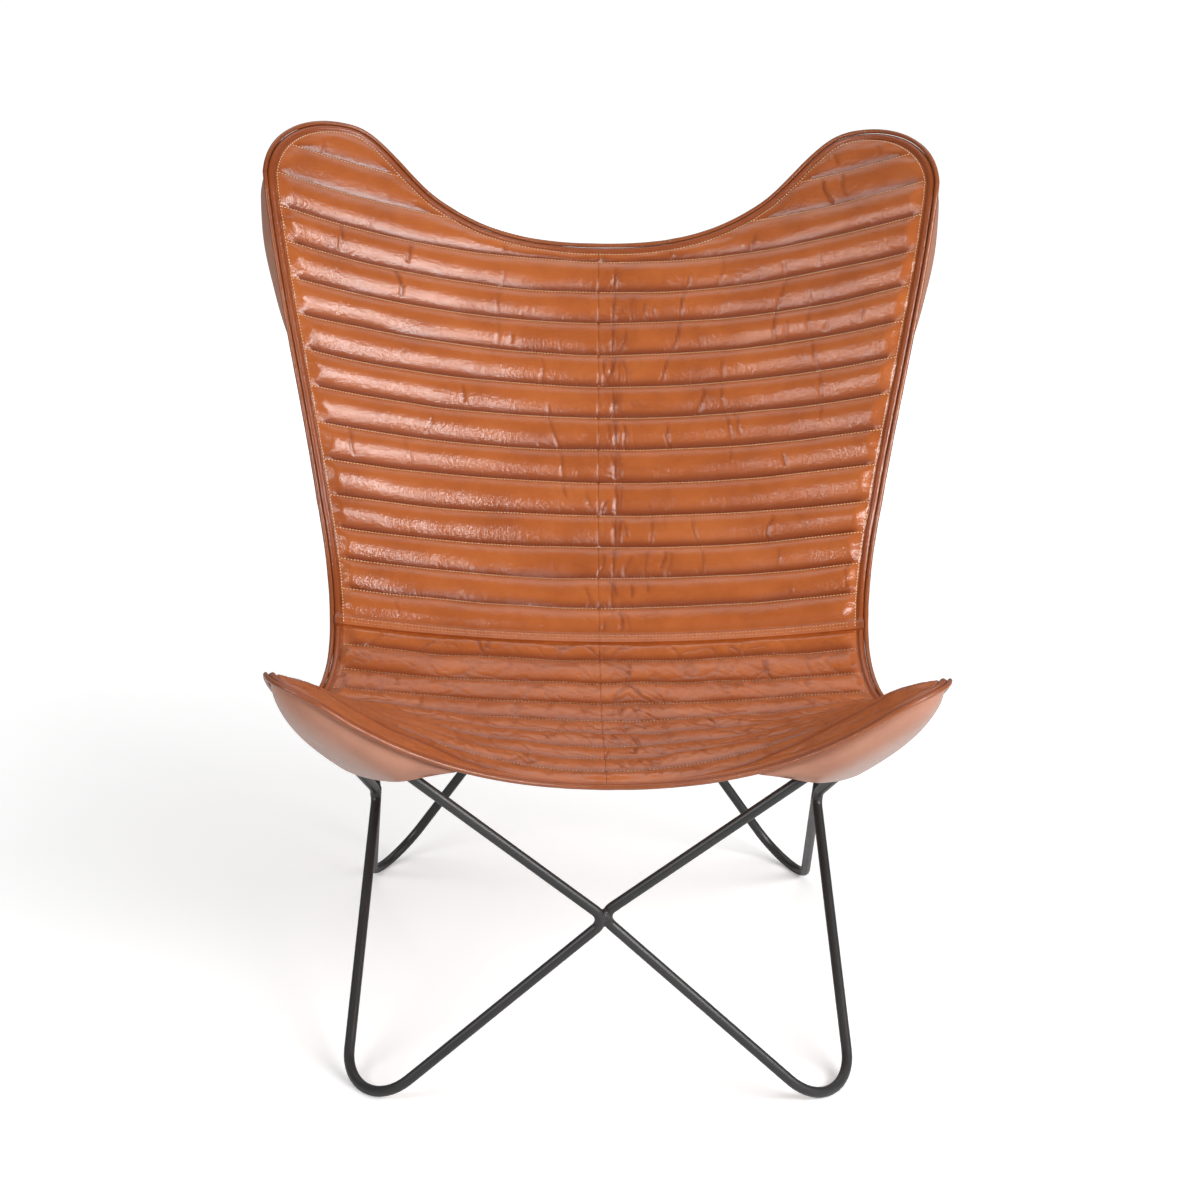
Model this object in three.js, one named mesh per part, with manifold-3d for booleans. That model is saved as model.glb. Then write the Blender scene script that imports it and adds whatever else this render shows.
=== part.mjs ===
// Butterfly sling chair: four closed loops of bent steel rod, welded bend to bend, and a quilted
// leather sling whose corner pockets slip over the loops' four tips.
// Millimetres, +Z up, the front faces -Y. Each loop runs crossing, foot, side crossing, tip.
import * as THREE from 'three';
import { mergeVertices } from 'three/addons/utils/BufferGeometryUtils.js';
import Module from 'manifold-3d';

const wasm = await Module();
wasm.setup();

// Rod and bends
const rodDiameter = 11;
const crossingBend = 13;
const footBend = 55;
const tipBend = 42;
const footFlat = 0.9;

// Where the loops touch each other
const frontCrossingY = 10;
const frontCrossingHeight = 203;
const rearCrossingY = 605;
const rearCrossingHeight = 330;
const sideCrossingX = 241;
const sideCrossingY = 300;
const sideCrossingDrop = 226;
const touchOverlap = 3.6;
const touchGap = 0.3;

// Corners of the feet, where the straight runs would meet on the plan
const frontFootX = 262;
const frontFootY = 0;
const rearFootX = 266;
const rearFootY = 608;

// Outermost points of the tips, on the rod's centre line, and the lean of the rods to the back tips
const frontTipX = 296;
const frontTipY = -8;
const frontTipHeight = 440;
const backTipX = 330;
const backTipHeight = 868;
const backRodLean = 25.78;

// Weld fillets
const weldRadius = 6.6;
const weldHeight = 19;

// Sling: centre line from the front edge, under the seat and up the back
const frontEdgeSetback = 4;
const frontSag = 93;
const seatSlope = -3.4;
const seatCornerSetback = 36.3;
const seatBend = 351;
const rodSeat = 0.45;

// Sling: outline, measured across from the centre line and along the sling
const waistHalfWidth = 284;
const waistStation = 310;
const frontMargin = 28;
const frontReach = 48;
const frontCornerRadius = 52;
const backMargin = 40;
const lobeMargin = 29;
const lobeHeight = 103;
const lobeRadius = 88;
const shoulderX = 190;
const shoulderRise = 38;
const shoulderSlope = 0.6;
const waistRise = 18;
const backRise = 143;
const flattestStation = 250;
const frontRampPower = 1.25;
const backFlarePower = 1.6;
const cornerRoll = 24;
const cornerRollWidth = 60;
const cornerRollEnd = 260;

// Sling: layers and quilting
const channelPitch = 39;
const seatChannels = 8;
const frontBand = 38;
const edgeBand = 15;
const channelDepth = 6.5;
const liningThickness = 1.4;
const faceThickness = 1.5;
const waddingSeam = 0.6;
const liningGap = 2;
const faceGap = 0.8;
const seamGap = 0.5;
const pipingDiameter = 5;
const pipingGap = 0.05;

// Corner pockets: how far they reach along the edges and along the two rods of each tip, and how
// far they swell round the tip
const pocketThickness = 1.5;
const pocketInset = 3;
const pocketRodGap = 6;
const pocketRimGap = 0.95;
const frontPocketStart = 140;
const frontPocketEnd = 225;
const frontPocketInner = 170;
const frontPocketOuter = 250;
const frontPocketSwell = 28;
const backPocketStart = 205;
const backPocketDrop = 190;
const backPocketInner = 230;
const backPocketOuter = 250;
const backPocketSwell = 76;

// Facet counts
const rodSides = 10;
const bendSteps = 7;
const pipingSides = 4;
const pocketRows = 5;
const columnShares = [0, 0.2, 0.38, 0.54, 0.67, 0.77, 0.87, 0.95, 0.98, 1];
const channelPhases = [0, 0.3, 0.72];
const channelHeights = [0, 1, 0.82];

function surface(color, roughness, metalness) {
  return new THREE.MeshStandardMaterial({ color, roughness, metalness });
}

const blackSteel = () => surface(0x33312f, 0.42, 0.6);
const tanLeather = () => surface(0xa4552a, 0.32, 0);
const paleLeather = () => surface(0xb9714f, 0.5, 0);
const creamWadding = () => surface(0xe6dccb, 0.95, 0);

const rodRadius = rodDiameter / 2;
const sideCrossingHeight = frontTipHeight - sideCrossingDrop;
const backTipRise = backTipHeight - sideCrossingHeight;
const backTipY = sideCrossingY + backTipRise * Math.tan(THREE.MathUtils.degToRad(backRodLean));
const chair = new THREE.Group();
chair.name = 'butterfly_sling_chair';

function addPiece(name, geometry, material) {
  geometry.computeVertexNormals();
  const mesh = new THREE.Mesh(geometry, material);
  mesh.name = name;
  chair.add(mesh);
}

// Booleans: a closed geometry becomes a solid, and the result comes back as a geometry.
function toSolid(geometry) {
  const bare = geometry.clone();
  bare.deleteAttribute('normal');
  bare.deleteAttribute('uv');
  const merged = mergeVertices(bare, 1e-4);
  const vertProperties = new Float32Array(merged.attributes.position.array);
  const triVerts = new Uint32Array(merged.index.array);
  return new wasm.Manifold(new wasm.Mesh({ numProp: 3, vertProperties, triVerts }));
}

function toGeometry(solid) {
  const mesh = solid.getMesh();
  const geometry = new THREE.BufferGeometry();
  geometry.setAttribute('position', new THREE.BufferAttribute(new Float32Array(mesh.vertProperties), 3));
  geometry.setIndex(new THREE.BufferAttribute(new Uint32Array(mesh.triVerts), 1));
  return geometry;
}

// The bend at a corner between two neighbouring corners: its centre, its end points and its sweep.
function bendAt(before, corner, after, radius) {
  const towardBefore = before.clone().sub(corner).normalize();
  const towardAfter = after.clone().sub(corner).normalize();
  const halfAngle = towardBefore.angleTo(towardAfter) / 2;
  const inward = towardBefore.clone().add(towardAfter).normalize();
  const centre = corner.clone().addScaledVector(inward, radius / Math.sin(halfAngle));
  const start = corner.clone().addScaledVector(towardBefore, radius / Math.tan(halfAngle));
  const sweep = Math.PI - 2 * halfAngle;
  const first = start.clone().sub(centre).normalize();
  const second = towardBefore.clone().negate();
  return { centre, first, second, sweep, radius, inward, halfAngle, towardBefore, towardAfter };
}

function pointOnBend(bend, share) {
  const angle = bend.sweep * share;
  return bend.centre.clone()
    .addScaledVector(bend.first, bend.radius * Math.cos(angle))
    .addScaledVector(bend.second, bend.radius * Math.sin(angle));
}

// The corner whose rounded bend has its outermost point at the given apex.
function cornerFromApex(before, apex, after, radius) {
  const corner = apex.clone();
  for (let round = 0; round < 30; round++) {
    const bend = bendAt(before, corner, after, radius);
    corner.copy(apex).addScaledVector(bend.inward, -radius * (1 / Math.sin(bend.halfAngle) - 1));
  }
  return corner;
}

// A foot corner is lowered until its bend, cut flat underneath, stands on the floor.
function footCorner(before, x, y, after) {
  const corner = new THREE.Vector3(x, y, 0);
  for (let round = 0; round < 30; round++) {
    const bend = bendAt(before, corner, after, footBend);
    const lowest = bend.centre.z - footBend * Math.hypot(bend.first.z, bend.second.z);
    corner.z += rodRadius - footFlat - lowest;
  }
  return corner;
}

// A closed rod path: a bend at each corner and a straight run to the next. Every bend has the same
// number of steps and every run has one, so the rings crowd where the rod curves.
class RodLoop extends THREE.Curve {
  constructor(corners, radii) {
    super();
    this.bends = corners.map((corner, i) => {
      const before = corners[(i + corners.length - 1) % corners.length];
      const after = corners[(i + 1) % corners.length];
      return bendAt(before, corner, after, radii[i]);
    });
  }

  get segments() {
    return this.bends.length * (bendSteps + 1);
  }

  getPoint(t, target = new THREE.Vector3()) {
    const place = (((t % 1) + 1) % 1) * this.bends.length;
    const index = Math.min(Math.floor(place), this.bends.length - 1);
    const step = (place - index) * (bendSteps + 1);
    const bend = this.bends[index];
    if (step <= bendSteps) return target.copy(pointOnBend(bend, step / bendSteps));
    const next = this.bends[(index + 1) % this.bends.length];
    return target.copy(pointOnBend(bend, 1)).lerp(pointOnBend(next, 0), step - bendSteps);
  }

  getPointAt(u, target) {
    return this.getPoint(u, target);
  }

  getTangentAt(u, target = new THREE.Vector3()) {
    const place = (((u % 1) + 1) % 1) * this.bends.length;
    const index = Math.min(Math.floor(place + 1e-9), this.bends.length - 1);
    const share = Math.min((place - index) * (bendSteps + 1) / bendSteps, 1);
    const bend = this.bends[index];
    const angle = bend.sweep * share;
    return target.copy(bend.first).multiplyScalar(-Math.sin(angle))
      .addScaledVector(bend.second, Math.cos(angle)).normalize();
  }
}

function rodTube(loop, radius) {
  return new THREE.TubeGeometry(loop, loop.segments, radius, rodSides, true);
}

// At the front and rear crossings two loops lie side by side, one a little ahead of the other.
function crossingApex(side, y, z) {
  const across = rodDiameter - touchOverlap;
  const along = Math.sqrt((rodDiameter + touchGap) ** 2 - across ** 2);
  return new THREE.Vector3(side * across / 2, y + side * along / 2, z);
}

// At a side crossing the front loop's bend lies ahead of the rear loop's bend.
function sideApex(side, end) {
  const offset = end * (rodDiameter + touchGap) / 2;
  return new THREE.Vector3(side * sideCrossingX, sideCrossingY + offset, sideCrossingHeight);
}

const ends = {
  front: {
    end: -1, crossingY: frontCrossingY, crossingZ: frontCrossingHeight, footX: frontFootX, footY: frontFootY,
    tip: new THREE.Vector3(frontTipX, frontTipY, frontTipHeight),
  },
  rear: {
    end: 1, crossingY: rearCrossingY, crossingZ: rearCrossingHeight, footX: rearFootX, footY: rearFootY,
    tip: new THREE.Vector3(backTipX, backTipY, backTipHeight),
  },
};

function makeLoop(side, place) {
  const crossing = crossingApex(side, place.crossingY, place.crossingZ);
  const flank = sideApex(side, place.end);
  const tip = place.tip.clone().setX(side * place.tip.x);
  const foot = new THREE.Vector3(side * place.footX, place.footY, 0);
  const corners = [crossing.clone(), foot, flank.clone(), tip.clone()];
  for (let round = 0; round < 6; round++) {
    corners[1] = footCorner(corners[0], foot.x, foot.y, corners[2]);
    corners[3] = cornerFromApex(corners[2], tip, corners[0], tipBend);
    corners[0] = cornerFromApex(corners[3], crossing, corners[1], crossingBend);
    corners[2] = cornerFromApex(corners[1], flank, corners[3], crossingBend);
  }
  return new RodLoop(corners, [crossingBend, footBend, crossingBend, tipBend]);
}

const loops = {
  front_left: makeLoop(-1, ends.front),
  front_right: makeLoop(1, ends.front),
  rear_left: makeLoop(-1, ends.rear),
  rear_right: makeLoop(1, ends.rear),
};

// Frame: each loop is cut flat where its foot meets the floor.
function addLoops() {
  const reach = 4 * (backTipX + backTipY + frontTipX);
  const belowFloor = new THREE.BoxGeometry(reach, reach, rodDiameter);
  belowFloor.translate(0, 0, -rodDiameter / 2);
  const floorCut = toSolid(belowFloor);
  for (const [name, loop] of Object.entries(loops)) {
    addPiece(name + '_loop', toGeometry(toSolid(rodTube(loop, rodRadius)).subtract(floorCut)), blackSteel());
  }
}

// A weld fills the grooves between two touching bends with a short upright plug of metal.
function addWeld(name, place, first, second) {
  const plug = new THREE.CylinderGeometry(weldRadius, weldRadius, weldHeight, 20);
  plug.rotateX(Math.PI / 2);
  plug.translate(...place);
  const clear = (rodRadius + touchGap) / Math.cos(Math.PI / rodSides);
  const weld = toSolid(plug)
    .subtract(toSolid(rodTube(first, clear)))
    .subtract(toSolid(rodTube(second, clear)));
  addPiece(name, toGeometry(weld), blackSteel());
}

function addWelds() {
  const front = [0, frontCrossingY, frontCrossingHeight];
  const rear = [0, rearCrossingY, rearCrossingHeight];
  const left = [-sideCrossingX, sideCrossingY, sideCrossingHeight];
  const right = [sideCrossingX, sideCrossingY, sideCrossingHeight];
  addWeld('front_weld', front, loops.front_left, loops.front_right);
  addWeld('rear_weld', rear, loops.rear_left, loops.rear_right);
  addWeld('left_weld', left, loops.front_left, loops.rear_left);
  addWeld('right_weld', right, loops.front_right, loops.rear_right);
}

// Sling centre line in the side view: a straight seat, a bend and a straight back. The back's slope
// is found so that the sling passes just ahead of the back tips.
const frontHalfWidth = frontTipX + frontMargin;
const backHalfWidth = backTipX + backMargin;
const seatAngle = THREE.MathUtils.degToRad(seatSlope);
const frontEdge = new THREE.Vector2(frontTipY + frontEdgeSetback, frontTipHeight - frontSag);
const seatCorner = (sideCrossingY + seatCornerSetback - frontEdge.x) / Math.cos(seatAngle);

function alongAngle(angle) {
  return new THREE.Vector2(Math.cos(angle), Math.sin(angle));
}

function acrossAngle(angle) {
  return new THREE.Vector2(-Math.sin(angle), Math.cos(angle));
}

// The straight seat ends where a bend of the given radius leaves it, short of the seat's corner.
function straightSeat(backAngle) {
  return seatCorner - seatBend * Math.tan((backAngle - seatAngle) / 2);
}

function pointInBend(seatRun, angle) {
  const turn = new THREE.Vector2(
    Math.sin(angle) - Math.sin(seatAngle), Math.cos(seatAngle) - Math.cos(angle));
  return frontEdge.clone().addScaledVector(alongAngle(seatAngle), seatRun).addScaledVector(turn, seatBend);
}

function bendEnd(backAngle) {
  return pointInBend(straightSeat(backAngle), backAngle);
}

const frontTipStation = (frontTipY - frontEdge.x) / Math.cos(seatAngle);
const backTip = new THREE.Vector2(backTipY, backTipHeight);

function solveBackAngle(cover) {
  const wanted = backRise * (backTipX / backHalfWidth) ** 2;
  let low = THREE.MathUtils.degToRad(20);
  let high = THREE.MathUtils.degToRad(88);
  for (let round = 0; round < 60; round++) {
    const middle = (low + high) / 2;
    const distance = backTip.clone().sub(bendEnd(middle)).dot(acrossAngle(middle)) + cover;
    if (distance > wanted) low = middle;
    else high = middle;
  }
  return (low + high) / 2;
}

// The sling's lie for a given cover over the front tips and in front of the back tips.
function layOut(frontCover, backCover) {
  const frontRise = (frontTipHeight + frontCover - frontEdge.y) * (frontHalfWidth / frontTipX) ** 2;
  const backAngle = solveBackAngle(backCover);
  const seatRun = straightSeat(backAngle);
  const backStart = seatRun + seatBend * (backAngle - seatAngle);
  const backTipStation = backStart + backTip.clone().sub(bendEnd(backAngle)).dot(alongAngle(backAngle));
  const lobeStation = backTipStation + lobeMargin;
  const dipStation = lobeStation - lobeHeight;
  const lobeCentre = lobeStation - lobeRadius;
  return { frontRise, backAngle, seatRun, backStart, dipStation, lobeStation, lobeCentre };
}

let sling = layOut(rodDiameter, rodDiameter);
const cornerCentre = frontCornerRadius - frontReach;

function centreLine(station) {
  if (station < sling.seatRun) {
    return { point: frontEdge.clone().addScaledVector(alongAngle(seatAngle), station), angle: seatAngle };
  }
  if (station < sling.backStart) {
    const angle = seatAngle + (station - sling.seatRun) / seatBend;
    return { point: pointInBend(sling.seatRun, angle), angle };
  }
  const angle = sling.backAngle;
  const point = bendEnd(angle).addScaledVector(alongAngle(angle), station - sling.backStart);
  return { point, angle };
}

function halfWidth(station) {
  if (station < waistStation) {
    const share = THREE.MathUtils.smoothstep(waistStation - station, 0, waistStation);
    return THREE.MathUtils.lerp(waistHalfWidth, frontHalfWidth, share);
  }
  const share = Math.min((station - waistStation) / (sling.lobeCentre - waistStation), 1);
  const flare = (share ** backFlarePower + THREE.MathUtils.smoothstep(share, 0, 1)) / 2;
  return THREE.MathUtils.lerp(waistHalfWidth, backHalfWidth, flare);
}

// Rises slowly at first and then steadily, from 0 to 1.
function softRamp(share) {
  const rounding = 0.15;
  const curve = (t) => Math.hypot(t, rounding) - rounding;
  return curve(Math.min(share, 1)) / curve(1);
}

function edgeRise(station) {
  if (station < flattestStation) {
    const share = (flattestStation - station) / (flattestStation - frontTipStation);
    return THREE.MathUtils.lerp(waistRise, sling.frontRise, softRamp(share) ** frontRampPower);
  }
  const share = (station - flattestStation) / (sling.dipStation - flattestStation);
  return THREE.MathUtils.lerp(waistRise, backRise, softRamp(share));
}

// The front corners roll down past the tips that carry them.
function cornerDrop(x, station) {
  const pastStart = Math.abs(x) - halfWidth(station) + cornerRollWidth;
  const share = Math.max(pastStart, 0) / cornerRollWidth;
  return cornerRoll * share ** 2 * THREE.MathUtils.smoothstep(cornerRollEnd - station, 0, cornerRollEnd);
}

// A point of the lining's upper side: x across, station along.
function slingPoint(x, station) {
  const { point, angle } = centreLine(station);
  const lift = edgeRise(station) * (x / halfWidth(station)) ** 2 - cornerDrop(x, station);
  const across = acrossAngle(angle);
  return new THREE.Vector3(x, point.x + across.x * lift, point.y + across.y * lift);
}

function slingNormal(x, station) {
  const step = 0.5;
  const alongX = slingPoint(x + step, station).sub(slingPoint(x - step, station));
  const alongS = slingPoint(x, station + step).sub(slingPoint(x, station - step));
  return alongX.cross(alongS).normalize();
}

function slingLayer(x, station, height) {
  return slingPoint(x, station).addScaledVector(slingNormal(x, station), height);
}

// The sling rests on the rods of its tips: the covers are found that leave the lining just clear.
function tipRod(loop) {
  const [crossing, , flank, tip] = loop.bends;
  const shares = Array.from({ length: 25 }, (_, i) => i / 24);
  const run = (from, to) => shares.map((share) => from.clone().lerp(to, share));
  return [
    ...run(pointOnBend(flank, 1), pointOnBend(tip, 0)),
    ...shares.map((share) => pointOnBend(tip, share)),
    ...run(pointOnBend(tip, 1), pointOnBend(crossing, 0)),
  ];
}

function depthUnderSling(point) {
  const start = point.y > frontEdge.x + sling.seatRun ? sling.backStart : 0;
  let station = start;
  for (let round = 0; round < 20; round++) {
    const here = slingPoint(point.x, station);
    const along = slingPoint(point.x, station + 1).sub(here);
    station += point.clone().sub(here).dot(along) / along.lengthSq();
  }
  return slingPoint(point.x, station).sub(point).dot(slingNormal(point.x, station));
}

function leastDepth(left, right) {
  return Math.min(...[...tipRod(left), ...tipRod(right)].map(depthUnderSling));
}

function seatOnRods() {
  const wanted = rodRadius + liningThickness + rodSeat;
  let frontCover = rodDiameter;
  let backCover = rodDiameter;
  for (let round = 0; round < 40; round++) {
    frontCover += wanted - leastDepth(loops.front_left, loops.front_right);
    backCover += wanted - leastDepth(loops.rear_left, loops.rear_right);
    sling = layOut(frontCover, backCover);
  }
}

seatOnRods();

// A smooth cubic between two heights with the slopes at both ends given.
function ease(x, x0, y0, slope0, x1, y1, slope1) {
  const t = (x - x0) / (x1 - x0);
  const span = x1 - x0;
  const start = (1 + 2 * t) * (1 - t) ** 2 * y0 + t * (1 - t) ** 2 * span * slope0;
  return start + t ** 2 * (3 - 2 * t) * y1 + t ** 2 * (t - 1) * span * slope1;
}

// The back's upper edge dips in the middle and rises to a round lobe over each tip.
function topEdge(x) {
  const reach = Math.abs(x);
  const lobeX = backHalfWidth - lobeRadius;
  if (reach < shoulderX) {
    return sling.dipStation + ease(reach, 0, 0, 0, shoulderX, shoulderRise, shoulderSlope);
  }
  if (reach < lobeX) {
    return sling.dipStation + ease(reach, shoulderX, shoulderRise, shoulderSlope, lobeX, lobeHeight, 0);
  }
  const out = Math.min(reach - lobeX, lobeRadius);
  return sling.lobeCentre + Math.sqrt(lobeRadius ** 2 - out ** 2);
}

// The seat's front edge runs forward to a round corner under each tip.
function bottomEdge(x) {
  const reach = Math.abs(x);
  const cornerX = frontHalfWidth - frontCornerRadius;
  if (reach < cornerX) return ease(reach, 0, 0, 0, cornerX, -frontReach, 0);
  const out = Math.min(reach - cornerX, frontCornerRadius);
  return cornerCentre - Math.sqrt(frontCornerRadius ** 2 - out ** 2);
}

// Stations of the rows across a panel: a seam and two crown rows for each channel.
const seatLength = frontBand + seatChannels * channelPitch;

function quiltRows(from, to) {
  const rows = [];
  for (let seam = from; seam < to; seam += channelPitch) {
    channelPhases.forEach((phase, i) => {
      const station = seam + phase * channelPitch;
      if (station < to) rows.push({ station, height: channelHeights[i], seam: i === 0 });
    });
  }
  rows.push({ station: to, height: 0, seam: true });
  return rows;
}

const backRows = quiltRows(seatLength + seamGap / 2, sling.lobeStation);
const seatRows = [
  { station: -frontReach, height: 0, seam: true },
  { station: -frontReach / 2, height: 0.3, seam: true },
  { station: 0, height: 0.6, seam: true },
  { station: cornerCentre, height: 0.6, seam: true },
  { station: frontBand / 2, height: 1, seam: false },
  ...quiltRows(frontBand, seatLength - seamGap / 2),
].sort((a, b) => a.station - b.station);

// Channels swell between the seams and lie flat in the band along every edge.
function swell(row, share, room, flatColumns) {
  const bandShare = columnShares[columnShares.length - 1 - flatColumns];
  const fullShare = columnShares[columnShares.length - 2 - flatColumns];
  const sideFade = THREE.MathUtils.clamp((bandShare - Math.abs(share)) / (bandShare - fullShare), 0, 1);
  const endFade = THREE.MathUtils.clamp((room - edgeBand) / edgeBand, 0, 1);
  return channelDepth * row.height * sideFade * endFade;
}

// A thin solid between an upper and a lower grid of points, closed along its rim. Rows that would
// run past the panel's curved end meet there, so triangles of no area are dropped.
function gridSolid(rowCount, columnCount, upper, lower) {
  const positions = [];
  for (const layer of [upper, lower]) {
    for (let i = 0; i < rowCount; i++) {
      for (let j = 0; j < columnCount; j++) positions.push(...layer(i, j).toArray());
    }
  }
  const at = (layer, i, j) => (layer * rowCount + i) * columnCount + j;
  const faces = [];
  const quad = (a, b, c, d) => faces.push([a, b, c], [a, c, d]);
  for (let i = 0; i + 1 < rowCount; i++) {
    for (let j = 0; j + 1 < columnCount; j++) {
      quad(at(0, i, j), at(0, i, j + 1), at(0, i + 1, j + 1), at(0, i + 1, j));
      quad(at(1, i, j), at(1, i + 1, j), at(1, i + 1, j + 1), at(1, i, j + 1));
    }
    quad(at(0, i, 0), at(0, i + 1, 0), at(1, i + 1, 0), at(1, i, 0));
    const last = columnCount - 1;
    quad(at(0, i + 1, last), at(0, i, last), at(1, i, last), at(1, i + 1, last));
  }
  for (let j = 0; j + 1 < columnCount; j++) {
    quad(at(0, 0, j + 1), at(0, 0, j), at(1, 0, j), at(1, 0, j + 1));
    const last = rowCount - 1;
    quad(at(0, last, j), at(0, last, j + 1), at(1, last, j + 1), at(1, last, j));
  }
  const rough = new THREE.BufferGeometry();
  rough.setAttribute('position', new THREE.BufferAttribute(new Float32Array(positions), 3));
  rough.setIndex(faces.flat());
  const merged = mergeVertices(rough, 1e-3);
  const index = merged.index.array;
  const kept = [];
  for (let k = 0; k < index.length; k += 3) {
    const [a, b, c] = [index[k], index[k + 1], index[k + 2]];
    if (a !== b && b !== c && c !== a) kept.push(a, b, c);
  }
  merged.setIndex(kept);
  return merged;
}

const mirroredShares = [...columnShares.slice(1).reverse().map((share) => -share), ...columnShares];
const leftShares = mirroredShares.filter((share) => share <= 0);
const rightShares = mirroredShares.filter((share) => share >= 0);
const waddingShares = mirroredShares.slice(2, -2);

// Where a row meets a column: rows stop at the sling's curved ends, and short steps are snapped.
function settle(share, wanted, inset, sideStep) {
  const snap = 3;
  const place = new THREE.Vector2(0, wanted);
  for (let round = 0; round < 5; round++) {
    place.x = share * halfWidth(place.y) + sideStep;
    const top = topEdge(place.x) - inset;
    const bottom = bottomEdge(place.x) + inset;
    place.y = wanted;
    if (wanted > top - snap) place.y = top;
    if (wanted < bottom + snap) place.y = bottom;
  }
  return place;
}

// One layer of a panel. Its height above the lining is a base plus a part of the channels' swell.
function panelLayer(rows, shares, layer) {
  const halfPanel = shares.length === columnShares.length;
  const towardSide = Math.sign(shares[0] + shares[shares.length - 1]);
  const place = (i, j) => {
    const sideStep = halfPanel && shares[j] === 0 ? towardSide * seamGap / 2 : 0;
    const { x, y: station } = settle(shares[j], rows[i].station, layer.inset, sideStep);
    const room = Math.min(topEdge(x) - station, station - bottomEdge(x)) - layer.calm;
    const lift = swell(rows[i], shares[j], room, layer.flatColumns) * layer.swellShare;
    return { x, station, lift };
  };
  const upper = (i, j) => {
    const { x, station, lift } = place(i, j);
    return slingLayer(x, station, layer.base + layer.thickness + lift);
  };
  const lower = (i, j) => {
    const { x, station, lift } = place(i, j);
    return slingLayer(x, station, layer.base + (layer.flatUnder ? 0 : lift));
  };
  return gridSolid(rows.length, shares.length, upper, lower);
}

const faceBase = liningGap + waddingSeam + faceGap;
const faceLayer = {
  base: faceBase, thickness: faceThickness, swellShare: 1, flatColumns: 2, flatUnder: false,
  inset: 0, calm: 0,
};
const waddingLayer = {
  base: liningGap, thickness: waddingSeam, swellShare: 0.94, flatColumns: 3, flatUnder: true,
  inset: edgeBand, calm: 2 * channelPitch,
};
const liningLayer = {
  base: -liningThickness, thickness: liningThickness, swellShare: 0, flatColumns: 2, flatUnder: true,
  inset: 0, calm: 0,
};

function addPanels() {
  const panels = { back: backRows, seat: seatRows };
  for (const [name, rows] of Object.entries(panels)) {
    addPiece(name + '_left_face', panelLayer(rows, leftShares, faceLayer), tanLeather());
    addPiece(name + '_right_face', panelLayer(rows, rightShares, faceLayer), tanLeather());
    const crowns = rows.filter((row) => row.station >= frontBand && (row.seam || row.height === 1));
    addPiece(name + '_wadding', panelLayer(crowns, waddingShares, waddingLayer), creamWadding());
    const seams = rows.filter((row) => row.seam);
    addPiece(name + '_lining', panelLayer(seams, mirroredShares, liningLayer), paleLeather());
  }
}

// The sling's outline, clockwise from above, through the corners of its panels.
function topOutline() {
  return mirroredShares.map((share) => settle(share, sling.lobeStation, 0, 0));
}

function frontOutline() {
  return mirroredShares.map((share) => settle(-share, -frontReach, 0, 0));
}

function sideOutline(side, from, to) {
  const trim = 1;
  const seams = [...seatRows, ...backRows].filter((row) => row.seam).map((row) => row.station);
  const spare = channelPitch / 4;
  const between = seams.filter((station) => station > from + spare && station < to - spare);
  const stations = [from + trim, ...between, to - trim];
  const outline = stations.map((station) => new THREE.Vector2(side * halfWidth(station), station));
  return side > 0 ? outline.reverse() : outline;
}

// A line of the outline moved outward across the sling and set at a height off it.
function rimLine(outline, out, height) {
  return outline.map((point, i) => {
    const before = outline[Math.max(i - 1, 0)];
    const after = outline[Math.min(i + 1, outline.length - 1)];
    const along = after.clone().sub(before).normalize();
    return slingLayer(point.x - along.y * out, point.y + along.x * out, height);
  });
}

// A path of straight steps through the given points, with a ring at every point.
class SteppedPath extends THREE.Curve {
  constructor(points) {
    super();
    this.points = points;
  }

  getPoint(t, target = new THREE.Vector3()) {
    const place = t * (this.points.length - 1);
    const index = Math.min(Math.floor(place), this.points.length - 2);
    return target.copy(this.points[index]).lerp(this.points[index + 1], place - index);
  }

  getPointAt(u, target) {
    return this.getPoint(u, target);
  }

  getTangentAt(u, target = new THREE.Vector3()) {
    const index = Math.round(u * (this.points.length - 1));
    const before = this.points[Math.max(index - 1, 0)];
    const after = this.points[Math.min(index + 1, this.points.length - 1)];
    return target.copy(after).sub(before).normalize();
  }
}

// Piping: a round cord of rolled leather along each edge of the sling.
function addPiping() {
  const radius = pipingDiameter / 2;
  const height = (faceBase + faceThickness - liningThickness) / 2;
  const outlines = {
    top_piping: topOutline(),
    right_piping: sideOutline(1, cornerCentre, sling.lobeCentre),
    front_piping: frontOutline(),
    left_piping: sideOutline(-1, cornerCentre, sling.lobeCentre),
  };
  for (const [name, outline] of Object.entries(outlines)) {
    const round = new THREE.Shape();
    round.absarc(0, 0, radius, 0, 2 * Math.PI);
    const extrudePath = new SteppedPath(rimLine(outline, radius + pipingGap, height));
    const steps = outline.length - 1;
    const options = { steps, curveSegments: pipingSides, bevelEnabled: false, extrudePath };
    addPiece(name, new THREE.ExtrudeGeometry(round, options), tanLeather());
  }
}

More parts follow.
